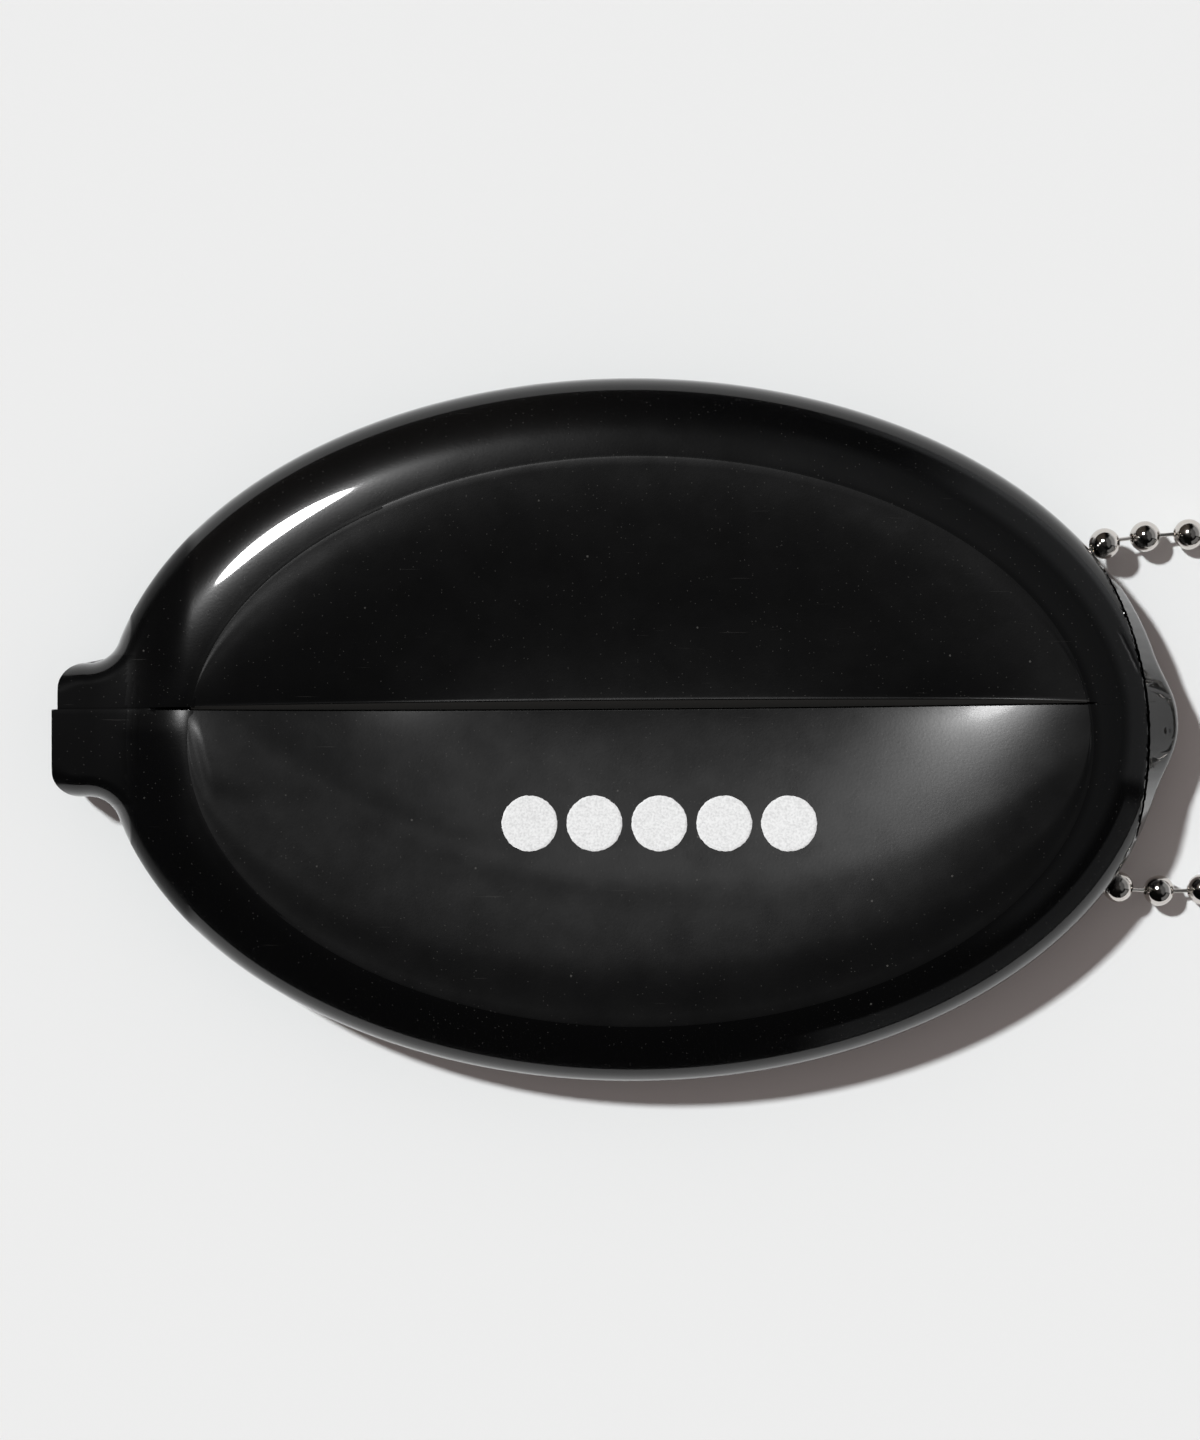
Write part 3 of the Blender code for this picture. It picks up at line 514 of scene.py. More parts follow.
foot_x = (OVAL_LENGTH - FOOT_REACH) * np.cos(crease_angle)
foot_y = (OVAL_WIDTH - FOOT_REACH) * np.sin(crease_angle)
rings = []
for j in range(FOOT_RINGS, 0, -1):
    share = (j / FOOT_RINGS) ** FOOT_CROWDING
    x = outline_x + (foot_x - outline_x) * share
    y = outline_y + (foot_y - outline_y) * share
    run = edge_distance(x, y)
    low_z = back_height(x, np.maximum(run, 0.0))
    if j == FOOT_RINGS:
        low_z = np.zeros(count)
    rings.append(np.column_stack([x, y, low_z]))
low_z = back_height(outline_x, np.maximum(edge_distance(outline_x, outline_y), 0.0))
rings.append(np.column_stack([outline_x, outline_y, low_z]))
for j in range(len(runs)):
    rings.append(np.column_stack([ring_x[j], ring_y[j], ring_z[j]]))
inward_x = CREASE_MIDDLE + (crease_x - CREASE_MIDDLE) * (1 - CREASE_TURN_IN / CREASE_LENGTH)
inward_y = CREASE_OFFSET + (crease_y - CREASE_OFFSET) * (1 - CREASE_TURN_IN / CREASE_WIDTH)
rings.append(np.column_stack([inward_x, inward_y, crease_z - CREASE_TURN_DOWN]))
rings.append(np.column_stack([inward_x, inward_y, crease_z - WALL]))
# The hollow: from the crease down to its widest line, and from there to its floor.
wall_x = (OVAL_LENGTH - WALL) * np.cos(crease_angle)
wall_y = (OVAL_WIDTH - WALL) * np.sin(crease_angle)
for steps, end_x, end_y, end_z in (
    (range(INNER_RINGS - 1, -1, -1), crease_x, crease_y, crease_z - WALL),
    (range(1, INNER_RINGS + 1), foot_x, foot_y, np.full(count, WALL)),
):
    for j in steps:
        share = 1 - math.cos(math.pi / 2 * j / INNER_RINGS)
        x, y = wall_x + (end_x - wall_x) * share, wall_y + (end_y - wall_y) * share
        rings.append(np.column_stack([x, y, WIDEST + (end_z - WIDEST) * quarter(share)]))


def skin(name, points, faces, sharp_angle):
    """A mesh from points in millimetres: doubled points merged, shaded smooth but for its edges."""
    bm = bmesh.new()
    mesh = bpy.data.meshes.new(name)
    mesh.from_pydata(points * MM, [], faces)
    bm.from_mesh(mesh)
    bmesh.ops.remove_doubles(bm, verts=bm.verts, dist=2e-7)
    bmesh.ops.dissolve_degenerate(bm, edges=bm.edges, dist=1e-8)
    bm.to_mesh(mesh)
    bm.free()
    mesh.shade_smooth()
    mesh.set_sharp_from_angle(angle=math.radians(sharp_angle))
    return mesh


def band_faces(ring_count, ring_size, closed=True):
    """Quads between rings whose points follow each other in one list, closed rings or open ones."""
    low = np.arange(ring_count - 1)[:, None] * ring_size
    here = np.arange(ring_size if closed else ring_size - 1)[None, :]
    after, high = (here + 1) % ring_size, low + ring_size
    quads = np.stack([low + here, low + after, high + after, high + here], axis=2)
    return quads.reshape(-1, 4).tolist()


def capped_faces(ring_count, ring_size):
    """Quads between closed rings, and one face over each end."""
    points = list(range(ring_count * ring_size))
    return band_faces(ring_count, ring_size) + [points[:ring_size][::-1], points[-ring_size:]]


def add_piece(name, mesh, material):
    """An object of a mesh and a material, in the scene."""
    item = bpy.data.objects.new(name, mesh)
    mesh.materials.append(material)
    bpy.context.scene.collection.objects.link(item)
    return item


body_mesh = skin("case_body", np.vstack(rings), capped_faces(len(rings), count), 50)

# The moulded skin: its gloss, and how much of that is left at the crease; the roughness of its
# ground outside and inside the crease; and its share of coarse dust.
MOULDED_SKIN = {
    "gloss": 0.78, "gloss_roughness": 0.04, "gloss_at_crease": 0.2,
    "satin": (0.24, 0.30), "dust": 0.035,
}
MOULDED_SPECULAR = 0.10
VINYL_IOR = 1.5
PANEL_SPAN, GLOSS_SPAN = (1.018, 0.998), (1.0, 1.03)
CLOUD_SCALE, CLOUD_DETAIL, CLOUD_ROUGHNESS = 260.0, 6.0, 0.62
CLOUD_SPAN, CLOUD_RANGE = (0.3, 0.7), (0.93, 1.08)
NECK_EDGE_SPAN, NECK_BARE_SPAN, NECK_WORN_SPAN = (1.15, 1.5), (-44.4, -45.9), (-50.3, -53.0)
WORN_ROUGHNESS = 0.5
SCRATCHES, SCRATCH_EDGE, SCRATCH_LIGHT = ((0.35, 0.75), (1.9, 0.765)), 0.04, 0.22
SCRATCH_STRETCH = (140.0, 4200.0, 140.0)
COARSE_DUST, FINE_DUST = (620.0, 0.085, 0.05, 1.0), (2400.0, 0.19, 0.07, 0.55)
FINE_DUST_SHARE = 0.26
VINYL_BLACK, VINYL_PALE = (0.0018, 0.0018, 0.0019, 1.0), (0.055, 0.053, 0.05, 1.0)
GRAIN_SCALE, GRAIN_STRENGTH, GRAIN_HEIGHT = 3500.0, 0.07, 0.00005


def mottling(tree, place, scale, detail, roughness=0.5):
    """A noise at a place on the piece, of so many cells to the metre."""
    sockets = {"Vector": place, "Scale": scale, "Detail": detail, "Roughness": roughness}
    return node(tree, "TexNoise", sockets, "Fac")


def tinted(tree, value, low, high, start=0.0, end=1.0):
    """A colour between two, by a value between two places."""
    scale = tree.nodes.new("ShaderNodeValToRGB")
    for element, position, colour in zip(scale.color_ramp.elements, (start, end), (low, high)):
        element.position = position
        element.color = colour
    tree.links.new(value, scale.inputs["Fac"])
    return scale.outputs["Color"]


def grained(tree, height, strength, distance):
    """The way the surface faces, tilted by a fine relief."""
    sockets = {"Height": height, "Strength": strength, "Distance": distance}
    return node(tree, "Bump", sockets, "Normal")


def vinyl_finish(name, specular, gloss, gloss_roughness, gloss_at_crease, satin, dust, cut=None):
    """Black vinyl: a clear gloss over a satin ground. The ground is duller inside the crease than
    outside it, clouded by handling, finely grained, scratched here and there and dusty."""
    material, tree, surface = new_material(name)
    surface["Specular IOR Level"].default_value = specular
    surface["Coat Roughness"].default_value = gloss_roughness
    surface["Coat IOR"].default_value = VINYL_IOR
    place = node(tree, "TexCoord", {}, "Object")
    # How far a point is from the crease's middle: 1 on the crease itself.
    middle = (CREASE_MIDDLE * MM, CREASE_OFFSET * MM, 0.0)
    sizes = (1 / (CREASE_LENGTH * MM), 1 / (CREASE_WIDTH * MM), 0.0)
    from_middle = node(tree, "VectorMath", {0: place, 1: middle}, "Vector", operation="SUBTRACT")
    scaled = node(tree, "VectorMath", {0: from_middle, 1: sizes}, "Vector", operation="MULTIPLY")
    reach = node(tree, "VectorMath", {0: scaled}, "Value", operation="LENGTH")
    # The neck's top, a little in from its edges, is bare of gloss, and worn at its end.
    split = tree.nodes.new("ShaderNodeSeparateXYZ")
    tree.links.new(place, split.inputs["Vector"])
    along, aside = split.outputs["X"], split.outputs["Y"]
    fillet_x, fillet_y = (upper[3] + NECK_UPPER_STRAIGHT) * MM, (NECK_WIDTH + NECK_FILLET) * MM
    from_fillet = node(tree, "CombineXYZ", {
        "X": worked(tree, "SUBTRACT", along, fillet_x, use_clamp=True),
        "Y": worked(tree, "SUBTRACT", fillet_y, worked(tree, "ABSOLUTE", aside)),
    })
    edge_gap = node(tree, "VectorMath", {0: from_fillet}, "Value", operation="LENGTH")
    topside, toward_neck, toward_end = (
        ramp(tree, value, (start + shift) * MM, (end + shift) * MM)
        for value, (start, end), shift in (
            (edge_gap, NECK_EDGE_SPAN, NECK_FILLET),
            (along, NECK_BARE_SPAN, 0),
            (along, NECK_WORN_SPAN, 0),
        )
    )
    bare = worked(tree, "MULTIPLY", topside, toward_neck)
    worn = worked(tree, "MULTIPLY", topside, toward_end)
    # The gloss thins out toward the crease and over the panel inside it.
    left = ramp(tree, bare, 0.0, 1.0, gloss, 0.0, "LINEAR")
    thinning = ramp(tree, reach, *GLOSS_SPAN, gloss_at_crease, 1.0)
    tree.links.new(worked(tree, "MULTIPLY", left, thinning), surface["Coat Weight"])
    ground = ramp(tree, reach, *PANEL_SPAN, *satin)
    ground = ramp(tree, worn, 0.0, 1.0, ground, WORN_ROUGHNESS, "LINEAR")
    clouds = mottling(tree, place, CLOUD_SCALE, CLOUD_DETAIL, CLOUD_ROUGHNESS)
    clouding = ramp(tree, clouds, *CLOUD_SPAN, *CLOUD_RANGE, "LINEAR")
    tree.links.new(worked(tree, "MULTIPLY", ground, clouding), surface["Roughness"])
    # Scratches: noise drawn out long one way, of which only the highest crests show.
    crests = []
    for turn, lowest in SCRATCHES:
        sockets = {"Vector": place, "Rotation": (0.0, 0.0, turn), "Scale": SCRATCH_STRETCH}
        scratch = mottling(tree, node(tree, "Mapping", sockets, "Vector"), 1.0, 2.0)
        crests.append(ramp(tree, scratch, lowest, lowest + SCRATCH_EDGE, form="LINEAR"))
    pale = worked(tree, "MULTIPLY", worked(tree, "MAXIMUM", *crests), SCRATCH_LIGHT)
    # Dust, coarse and fine: in some cells of a mesh of cells, a speck at the cell's middle.
    for (scale, far, near, light), chance in ((COARSE_DUST, dust), (FINE_DUST, FINE_DUST_SHARE)):
        cells = tree.nodes.new("ShaderNodeTexVoronoi")
        cells.inputs["Scale"].default_value = scale
        tree.links.new(place, cells.inputs["Vector"])
        speck = ramp(tree, cells.outputs["Distance"], far, near, 0.0, light, "LINEAR")
        number = node(tree, "SeparateColor", {"Color": cells.outputs["Color"]}, "Red")
        chosen = worked(tree, "LESS_THAN", number, chance)
        pale = worked(tree, "MAXIMUM", pale, worked(tree, "MULTIPLY", speck, chosen))
    if cut is not None:
        pale = worked(tree, "MAXIMUM", pale, cut(tree, along, aside))
    tree.links.new(tinted(tree, pale, VINYL_BLACK, VINYL_PALE), surface["Base Color"])
    grain = mottling(tree, place, GRAIN_SCALE, 4.0)
    tree.links.new(grained(tree, grain, GRAIN_STRENGTH, GRAIN_HEIGHT), surface["Normal"])
    return material


vinyl = vinyl_finish("black_vinyl_skin", MOULDED_SPECULAR, **MOULDED_SKIN)
# The neck is worn dull in steps: where each begins and its specular level, and how wide they are.
NECK_WEAR = ((-50.5, 0.074), (-51.1, 0.05), (-51.8, 0.028))
NECK_WEAR_SIDE = 7.6
# Exits: two round holes through the tail's wall, each along the first link of a strand.
EXIT_RADIUS, EXIT_STEPS, EXIT_OVERRUN = 1.95, 48, 2.0
PIERCED = (("bead_upper_1", "bead_inner_1"), ("bead_lower_1", "bead_inner_9"))


def ball_middle(name):
    """The middle of a ball's own CAD node."""
    return (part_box(name)[0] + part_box(name)[1]) / (2 * MM)


def full_turn(steps):
    """Even angles once round."""
    return np.linspace(0, 2 * math.pi, steps, endpoint=False)


def hole_cutter(outside, inside):
    """A closed rod: a circle carried along the line between two balls and a little past them."""
    ends = [np.array(ball_middle(name)) for name in (outside, inside)]
    along = (ends[0] - ends[1]) / np.linalg.norm(ends[0] - ends[1])
    across = np.cross(along, (0.0, 0.0, 1.0))
    across /= np.linalg.norm(across)
    upwards = np.cross(across, along)
    turns = full_turn(EXIT_STEPS)[:, None]
    circle = EXIT_RADIUS * (np.cos(turns) * across + np.sin(turns) * upwards)
    rod = [end + circle for end in (ends[1] - along * EXIT_OVERRUN, ends[0] + along * EXIT_OVERRUN)]
    return np.vstack(rod), capped_faces(2, EXIT_STEPS)


def cut_away(item, cutter, solver):
    """A modifier that takes a cutter's shape out of a piece."""
    cut = item.modifiers.new(cutter.name, "BOOLEAN")
    cut.solver = solver
    cut.operation = "DIFFERENCE"
    cut.object = cutter
    return cut


def shaped(item, modifiers):
    """The piece with its modifiers applied, so that it keeps a plain mesh."""
    finished = item.evaluated_get(bpy.context.evaluated_depsgraph_get())
    settled = bpy.data.meshes.new_from_object(finished)
    for modifier in modifiers:
        item.modifiers.remove(modifier)
    item.data = settled


body = add_piece("case_body", body_mesh, vinyl)
cutters, cuts = [], []
for k, (outside, inside) in enumerate(PIERCED):
    name = f"exit_cutter_{k + 1}"
    cutters.append(add_piece(name, skin(name, *hole_cutter(outside, inside), 40), vinyl))
    cuts.append(cut_away(body, cutters[-1], "MANIFOLD"))
shaped(body, cuts)
centres = np.empty(3 * len(body.data.polygons), dtype=np.float32)
body.data.polygons.foreach_get("center", centres)
centre_x, centre_y = centres.reshape(-1, 3)[:, 0] / MM, centres.reshape(-1, 3)[:, 1] / MM
wear = np.zeros(len(centre_x), dtype=np.int32)
for worn_from, specular in NECK_WEAR:
    name = f"worn_neck_skin_{len(body.data.materials)}"
    body.data.materials.append(vinyl_finish(name, specular, **MOULDED_SKIN))
    wear += (centre_x < worn_from) & (np.abs(centre_y) < NECK_WEAR_SIDE)
body.data.polygons.foreach_set("material_index", wear)
for cutter in cutters:
    bpy.data.objects.remove(cutter)
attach(body, "case")
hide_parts("case_shell")

# Lips: the two halves of the front that the slit parts, of the same skin as the body, but dulled by
# handling. They leave the crease level and sag towards the slit; two folds mark the lower one.
SAG, SAG_LENGTH, SAG_ALONG, SAG_END = 2.624, 46.6, 3.377, 2.045
SAG_REACH, SAG_ACROSS, SAG_ROOT = 30.06, 1.771, 2.337
SAG_SHIFT, SAG_SPAN, SAG_BOW = 1.48, 48.0, 2.213
UPPER_SAG_REACH = 27.5
FOLD_DROP, FOLD_X, FOLD_LEFT, FOLD_RIGHT, FOLD_BOW = 18.3, 8.0, 51.0, 44.0, 2.2
FOLD_HEIGHT, FOLD_WIDTH = 0.14, 1.9
FOLD_RISE, FOLD_FADE, FOLD_LOSS = (-44.0, 16.0), (-12.0, 26.0), 0.8
WRINKLE_HEIGHT, WRINKLE_WIDTH, WRINKLE_X, WRINKLE_TILT = 0.14, 1.3, -45.2, 0.25
WRINKLE_FADE = 5.0
WRINKLE_MIDDLE, WRINKLE_REACH = -2.8, 3.6
LOWER_EDGE, LOWER_TILT, LOWER_BOW = 2.05, 0.0075, 0.00012
CUT_ENDS, CUT_MIDDLE, CUT_GAP, CUT_SLOPE = 0.45, 0.55, 0.12, 0.8
BURR, BURR_WIDTH = 0.045, 0.12
SLIT_END_POWER, FAR_INSIDE = 10, 100.0
LIP_ROWS = np.concatenate([[0.0, 0.003, 0.006, 0.0095], np.linspace(0.0, 1.0, 44)[1:] ** 1.15])
LIP_EDGE, LIP_EDGE_STEPS = 0.05, 4
EDGE_SLANT = 0.35
LIP_FIT = 0.2
LIP_BACK_ROWS = (0.0, 0.25, 0.5, 0.75, 0.985)
TUCK_OUT, TUCK_DOWN = 0.25, 0.03
BEND_REACH, BEND_END_FADE = 0.6, 2.5
CUT_SPAN, CUT_GREY = (0.03, 0.08), 0.37
DULLED_SKIN = {
    "gloss": 0.06, "gloss_roughness": 0.09, "gloss_at_crease": 1.0,
    "satin": (0.293, 0.293), "dust": 0.10,
}
DULLED_SPECULAR = 0.26


def end_share(x):
    """0 at the crease's middle and 1 at both its ends."""
    return np.clip(np.abs(x - CREASE_MIDDLE) / CREASE_LENGTH, 0, 1)


def lower_edge(x):
    """The lower lip's free edge, bowed a little upwards at both ends."""
    return LOWER_EDGE + LOWER_TILT * x + LOWER_BOW * x**2


def cut_width(x):
    """How much of the upper lip's cut face is seen from above: most at the slit's middle."""
    return CUT_ENDS + CUT_MIDDLE * (1 - (x / SAG_LENGTH) ** 2)


def free_edge(x, side):
    """A lip's free edge. At the slit's ends it runs into the groove in the body."""
    inside = 1 - end_share(x) ** SLIT_END_POWER
    level_edge = slit_middle(x) + side * slit_half_width(x)
    bent_edge = lower_edge(x) + (cut_width(x) if side > 0 else 0)
    return level_edge + (bent_edge - level_edge) * inside


def front_share(x, y, side):
    """0 at a lip's free edge and 1 at the crease, straight up or down from the slit."""
    free = free_edge(x, side)
    wide = np.sqrt(np.clip(1 - ((x - CREASE_MIDDLE) / CREASE_LENGTH) ** 2, 0, 1))
    root = CREASE_OFFSET + side * CREASE_WIDTH * wide
    width = np.where(np.abs(root - free) < 1e-6, side * 1e-6, root - free)
    return np.clip((y - free) / width, 0, 1)


def lip_height(x, y, side):
    """Height of a lip: the crease's height less a sag of S * (1 - u^a)^b * (1 - v^c)^d, where u
    runs from the slit's middle to its ends and v from the slit to where the sag ends, a bowed
    line."""
    along = np.clip(np.abs(x) / SAG_LENGTH, 0, 1)
    reach = SAG_REACH if side < 0 else UPPER_SAG_REACH
    away = np.abs(y - slit_middle(x))
    bowed = reach * np.clip(1 - np.abs((x - SAG_SHIFT) / SAG_SPAN) ** SAG_BOW, 0.02, 1)
    across = np.clip(away / bowed, 0, 1)
    sag = SAG * (1 - along**SAG_ALONG) ** SAG_END * (1 - across**SAG_ACROSS) ** SAG_ROOT
    return level(x, y) - sag + (folds(x, y, away) if side < 0 else 0.0)


def folds(x, y, away):
    """Two folds in the lower lip. One is a soft ridge, a bell across a line bowed from end to end
    of the slit, strongest at the left. The other is a short step up beside the left end of the
    crease, a smooth step that dies away exponentially."""
    half = np.where(x < FOLD_X, FOLD_LEFT, FOLD_RIGHT)
    line = FOLD_DROP * np.clip(1 - np.abs((x - FOLD_X) / half) ** FOLD_BOW, 0, 1)
    fading = 1 - FOLD_LOSS * smooth((x - FOLD_FADE[0]) / FOLD_FADE[1])
    height = FOLD_HEIGHT * smooth((x - FOLD_RISE[0]) / FOLD_RISE[1]) * fading
    long_fold = height * np.exp(-(((away - line) / FOLD_WIDTH) ** 2))
    offset = (x - WRINKLE_X + WRINKLE_TILT * (y - SLIT_Y)) / WRINKLE_WIDTH
    fade = np.exp(-(((y - WRINKLE_MIDDLE) / WRINKLE_REACH) ** 4))
    step = smooth(offset + 0.5) * np.exp(-np.clip(offset, 0, None) * WRINKLE_WIDTH / WRINKLE_FADE)
    return long_fold + WRINKLE_HEIGHT * step * fade


def level(x, y):
    """Height of the crease, carried on inwards with the slit's shallow valley."""
    return crease_level - dip(x, y, np.full(np.shape(x), FAR_INSIDE))


def cut_face(tree, along, aside):
    """The cut face beside the slit, matt and grey: how far a point is above the lower lip's edge or
    below the upper one's, whichever is less, as in lower_edge and cut_width."""
    square = worked(tree, "MULTIPLY", along, along)
    tilted = worked(tree, "MULTIPLY_ADD", along, LOWER_TILT, LOWER_EDGE * MM)
    edge = worked(tree, "MULTIPLY_ADD", square, LOWER_BOW / MM, tilted)
    above = worked(tree, "SUBTRACT", aside, edge)
    narrowing, widest = -CUT_MIDDLE / SAG_LENGTH**2 / MM, (CUT_ENDS + CUT_MIDDLE) * MM
    below = worked(tree, "SUBTRACT", worked(tree, "MULTIPLY_ADD", square, narrowing, widest), above)
    face = worked(tree, "MINIMUM", above, below)
    return ramp(tree, face, CUT_SPAN[0] * MM, CUT_SPAN[1] * MM, 0.0, CUT_GREY, "LINEAR")


def follow_hinge(mesh, side):
    """How far each point turns with its lip: a smooth step from the crease inwards, which fades out
    toward both ends of the slit by a power of the distance."""
    at = np.empty(len(mesh.vertices) * 3)
    mesh.vertices.foreach_get("co", at)
    at = at.reshape(-1, 3) / MM
    inwards = smooth((1 - front_share(at[:, 0], at[:, 1], side)) / BEND_REACH)
    weight = inwards * (1 - end_share(at[:, 0]) ** BEND_END_FADE)
    mesh.attributes["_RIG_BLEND"].data.foreach_set("value", weight.astype(np.float32))


crease_level = float(np.max(crease_z + dip(crease_x, crease_y, crease_distance)))
dulled_vinyl = vinyl_finish("dulled_vinyl_skin", DULLED_SPECULAR, **DULLED_SKIN, cut=cut_face)
for name, side, cad_node, hinge_body, first, last in (
    ("upper_lip_skin", 1, "upper_lip", "lip_above", 0, upper_count),
    ("lower_lip_skin", -1, "lower_lip", "lip_below", upper_count + 1, count - 1),
):
    root_x, root_y = crease_x[first:last], crease_y[first:last]
    root_z = crease_z[first:last]
    turn = crease_angle[first:last]
    turn = (turn - turn[0]) / (turn[-1] - turn[0]) * math.pi
    middle, reach = (root_x[0] + root_x[-1]) / 2, (root_x[0] - root_x[-1]) / 2
    free_x = middle + reach * np.cos(turn)
    free_y = free_edge(free_x, side)
    burr = BURR * (1 - end_share(free_x) ** SLIT_END_POWER) * (side > 0)
    rows = []
    for row in LIP_ROWS:
        x = free_x + (root_x - free_x) * row
        y = free_y + (root_y - free_y) * row
        fit = smooth((row - 1 + LIP_FIT) / LIP_FIT)
        z = lip_height(x, y, side) + burr * np.exp(-(((y - free_y) / BURR_WIDTH) ** 2))
        rows.append(np.column_stack([x, y, z + (root_z - lip_height(root_x, root_y, side)) * fit]))
    width = np.hypot(root_x - free_x, root_y - free_y)
    bevel = np.minimum(LIP_EDGE, width / 4)
    step_in = np.maximum(np.linalg.norm(rows[1] - rows[0], axis=1), 1e-9)
    first_row = rows[0] + (rows[1] - rows[0]) * np.clip(bevel / step_in, 0, 0.9)[:, None]
    turned_down = math.atan(CUT_SLOPE) if side > 0 else math.pi / 2
    edge = []
    for step in range(LIP_EDGE_STEPS + 1):
        a = turned_down * step / LIP_EDGE_STEPS
        ring = first_row.copy()
        ring[:, :2] += (rows[0][:, :2] - first_row[:, :2]) * math.sin(a) / math.sin(turned_down)
        ring[:, 2] -= bevel * (1 - math.cos(a))
        edge.append(ring)
    if side > 0:
        cut_run = np.clip(free_y - lower_edge(free_x) - CUT_GAP, 0, None)
        edge.append(edge[-1] + np.column_stack([0 * cut_run, -cut_run, -CUT_SLOPE * cut_run]))
    bottom = []
    for row in LIP_BACK_ROWS:
        k = row * (len(rows) - 1)
        base = rows[int(k)] + (rows[min(int(k) + 1, len(rows) - 1)] - rows[int(k)]) * (k - int(k))
        slant = side * EDGE_SLANT * (1 - row)
        bottom.append(base + np.array([0, slant, -WALL]))
    tuck = rows[-1].copy()
    from_middle = np.column_stack([root_x - CREASE_MIDDLE, root_y - CREASE_OFFSET])
    outward = from_middle / np.array([CREASE_LENGTH, CREASE_WIDTH]) ** 2
    outward /= np.linalg.norm(outward, axis=1)[:, None]
    tuck[:, :2] += outward * TUCK_OUT
    tuck[:, 2] -= TUCK_DOWN
    grid = [tuck] + rows[::-1][:-1] + edge + bottom
    faces = band_faces(len(grid), len(root_x), closed=False)
    mesh = skin(name, np.vstack(grid), faces, 40)
    lip = add_piece(name, mesh, dulled_vinyl)
    if mesh.polygons[len(mesh.polygons) // 4].normal.z < 0:
        mesh.flip_normals()
    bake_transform(lip, "case", hinge_body, start=(0, 0, 0), end=(0, 0, 0.001))
    follow_hinge(mesh, side)
    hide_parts(cad_node)

# Print: five plain white discs in a row on the lower lip, in thick matt ink with slightly rough
# edges.
DISC_COUNT, DISC_RADIUS, DISC_PITCH = 5, 2.85, 6.62
DISC_ROW = (2.65, -9.55)
INK_HEIGHT, INK_EDGE = 0.07, 0.16
INK_RAGGED, INK_WAVES, INK_LUMPS, INK_SINK = 0.008, (5, 9, 14, 23, 31), 0.006, 0.005
INK_PALE, INK_WHITE, INK_SPAN = (0.62, 0.62, 0.62, 1), (0.80, 0.80, 0.80, 1), (0.30, 0.62)
INK_ROUGHNESS, INK_SPECULAR = 0.75, 0.3
INK_GRAIN, INK_GRAIN_STRENGTH, INK_GRAIN_HEIGHT = 4200.0, 0.5, 0.00006
DISC_RINGS, DISC_STEPS, DISC_INNER_RING = 16, 120, 0.12

radial = np.concatenate([[0.0], np.linspace(DISC_INNER_RING, 1.0, DISC_RINGS)])
turns = full_turn(DISC_STEPS)
points, faces, start = [], [], 0
for k in range(DISC_COUNT):
    rough_edge = 1 + INK_RAGGED * wander(DISC_STEPS, INK_WAVES, 100 + k)
    middle_x = DISC_ROW[0] + (k - (DISC_COUNT - 1) / 2) * DISC_PITCH
    far = DISC_RADIUS * np.outer(radial[1:], rough_edge)
    x = middle_x + far * np.cos(turns)
    y = DISC_ROW[1] + far * np.sin(turns)
    inset = DISC_RADIUS * (1 - radial[1:, None]) * np.ones(DISC_STEPS)
    puff = INK_HEIGHT * quarter(np.clip(inset / INK_EDGE, 0, 1))
    lumps = np.random.default_rng(200 + k).normal(0, INK_LUMPS, x.shape) * (inset > 0.01)
    z = lip_height(x, y, -1) + puff + lumps - INK_SINK
    points.append(np.column_stack([x.ravel(), y.ravel(), z.ravel()]))
    quads = np.array(band_faces(DISC_RINGS, DISC_STEPS)) + start
    faces += quads[:, ::-1].tolist() + [(start + np.arange(DISC_STEPS)).tolist()]
    start += DISC_RINGS * DISC_STEPS
print_mesh = skin("printed_discs", np.vstack(points), faces, 60)

ink, tree, surface = new_material("white_ink")
surface["Roughness"].default_value = INK_ROUGHNESS
surface["Specular IOR Level"].default_value = INK_SPECULAR
grain = mottling(tree, node(tree, "TexCoord", {}, "Object"), INK_GRAIN, 3.0)
tree.links.new(tinted(tree, grain, INK_PALE, INK_WHITE, *INK_SPAN), surface["Base Color"])
tree.links.new(grained(tree, grain, INK_GRAIN_STRENGTH, INK_GRAIN_HEIGHT), surface["Normal"])

discs = add_piece("printed_discs", print_mesh, ink)
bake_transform(discs, "case", "lip_below", start=(0, 0, 0), end=(0, 0, 0.001))
follow_hinge(print_mesh, -1)

# Ball chain: hollow balls rolled from nickel-plated steel strip, each with a hole at both ends
# whose edge is turned in, and thin wire links between them. The rows ride on the bodies that fold
# the loop.
BEAD_RADIUS = 1.6
BEAD_HOLE = 0.52
# The turned-in edge of a hole, from inside out: along the ball's axis from the rim, and out from
# the hole's radius.
HOLE_EDGE = ((-0.62, -0.12), (-0.30, -0.07), (-0.10, -0.08), (-0.015, -0.03), (0.005, 0.05))
HOLE_MARGIN = 0.10
SEAM_GROOVE, SEAM_ANGLE = 0.022, 0.045
BEAD_ROWS, BEAD_STEPS = 26, 44
LINK_RADIUS, LINK_STEPS = 0.22, 14
LINK_ALONG = (0.0, 0.2, 0.35, 0.5, 0.65, 0.8, 1.0)
LINK_THICKNESS = (1.0, 1.0, 0.93, 0.9, 0.93, 1.0, 1.0)
LINK_SINK = 0.45
NICKEL_DARK, NICKEL_LIGHT = (0.56, 0.52, 0.48, 1), (0.76, 0.73, 0.70, 1)
NICKEL_MOTTLE, NICKEL_SPAN, NICKEL_ROUGHNESS = 900.0, (0.35, 0.75), (0.05, 0.16)

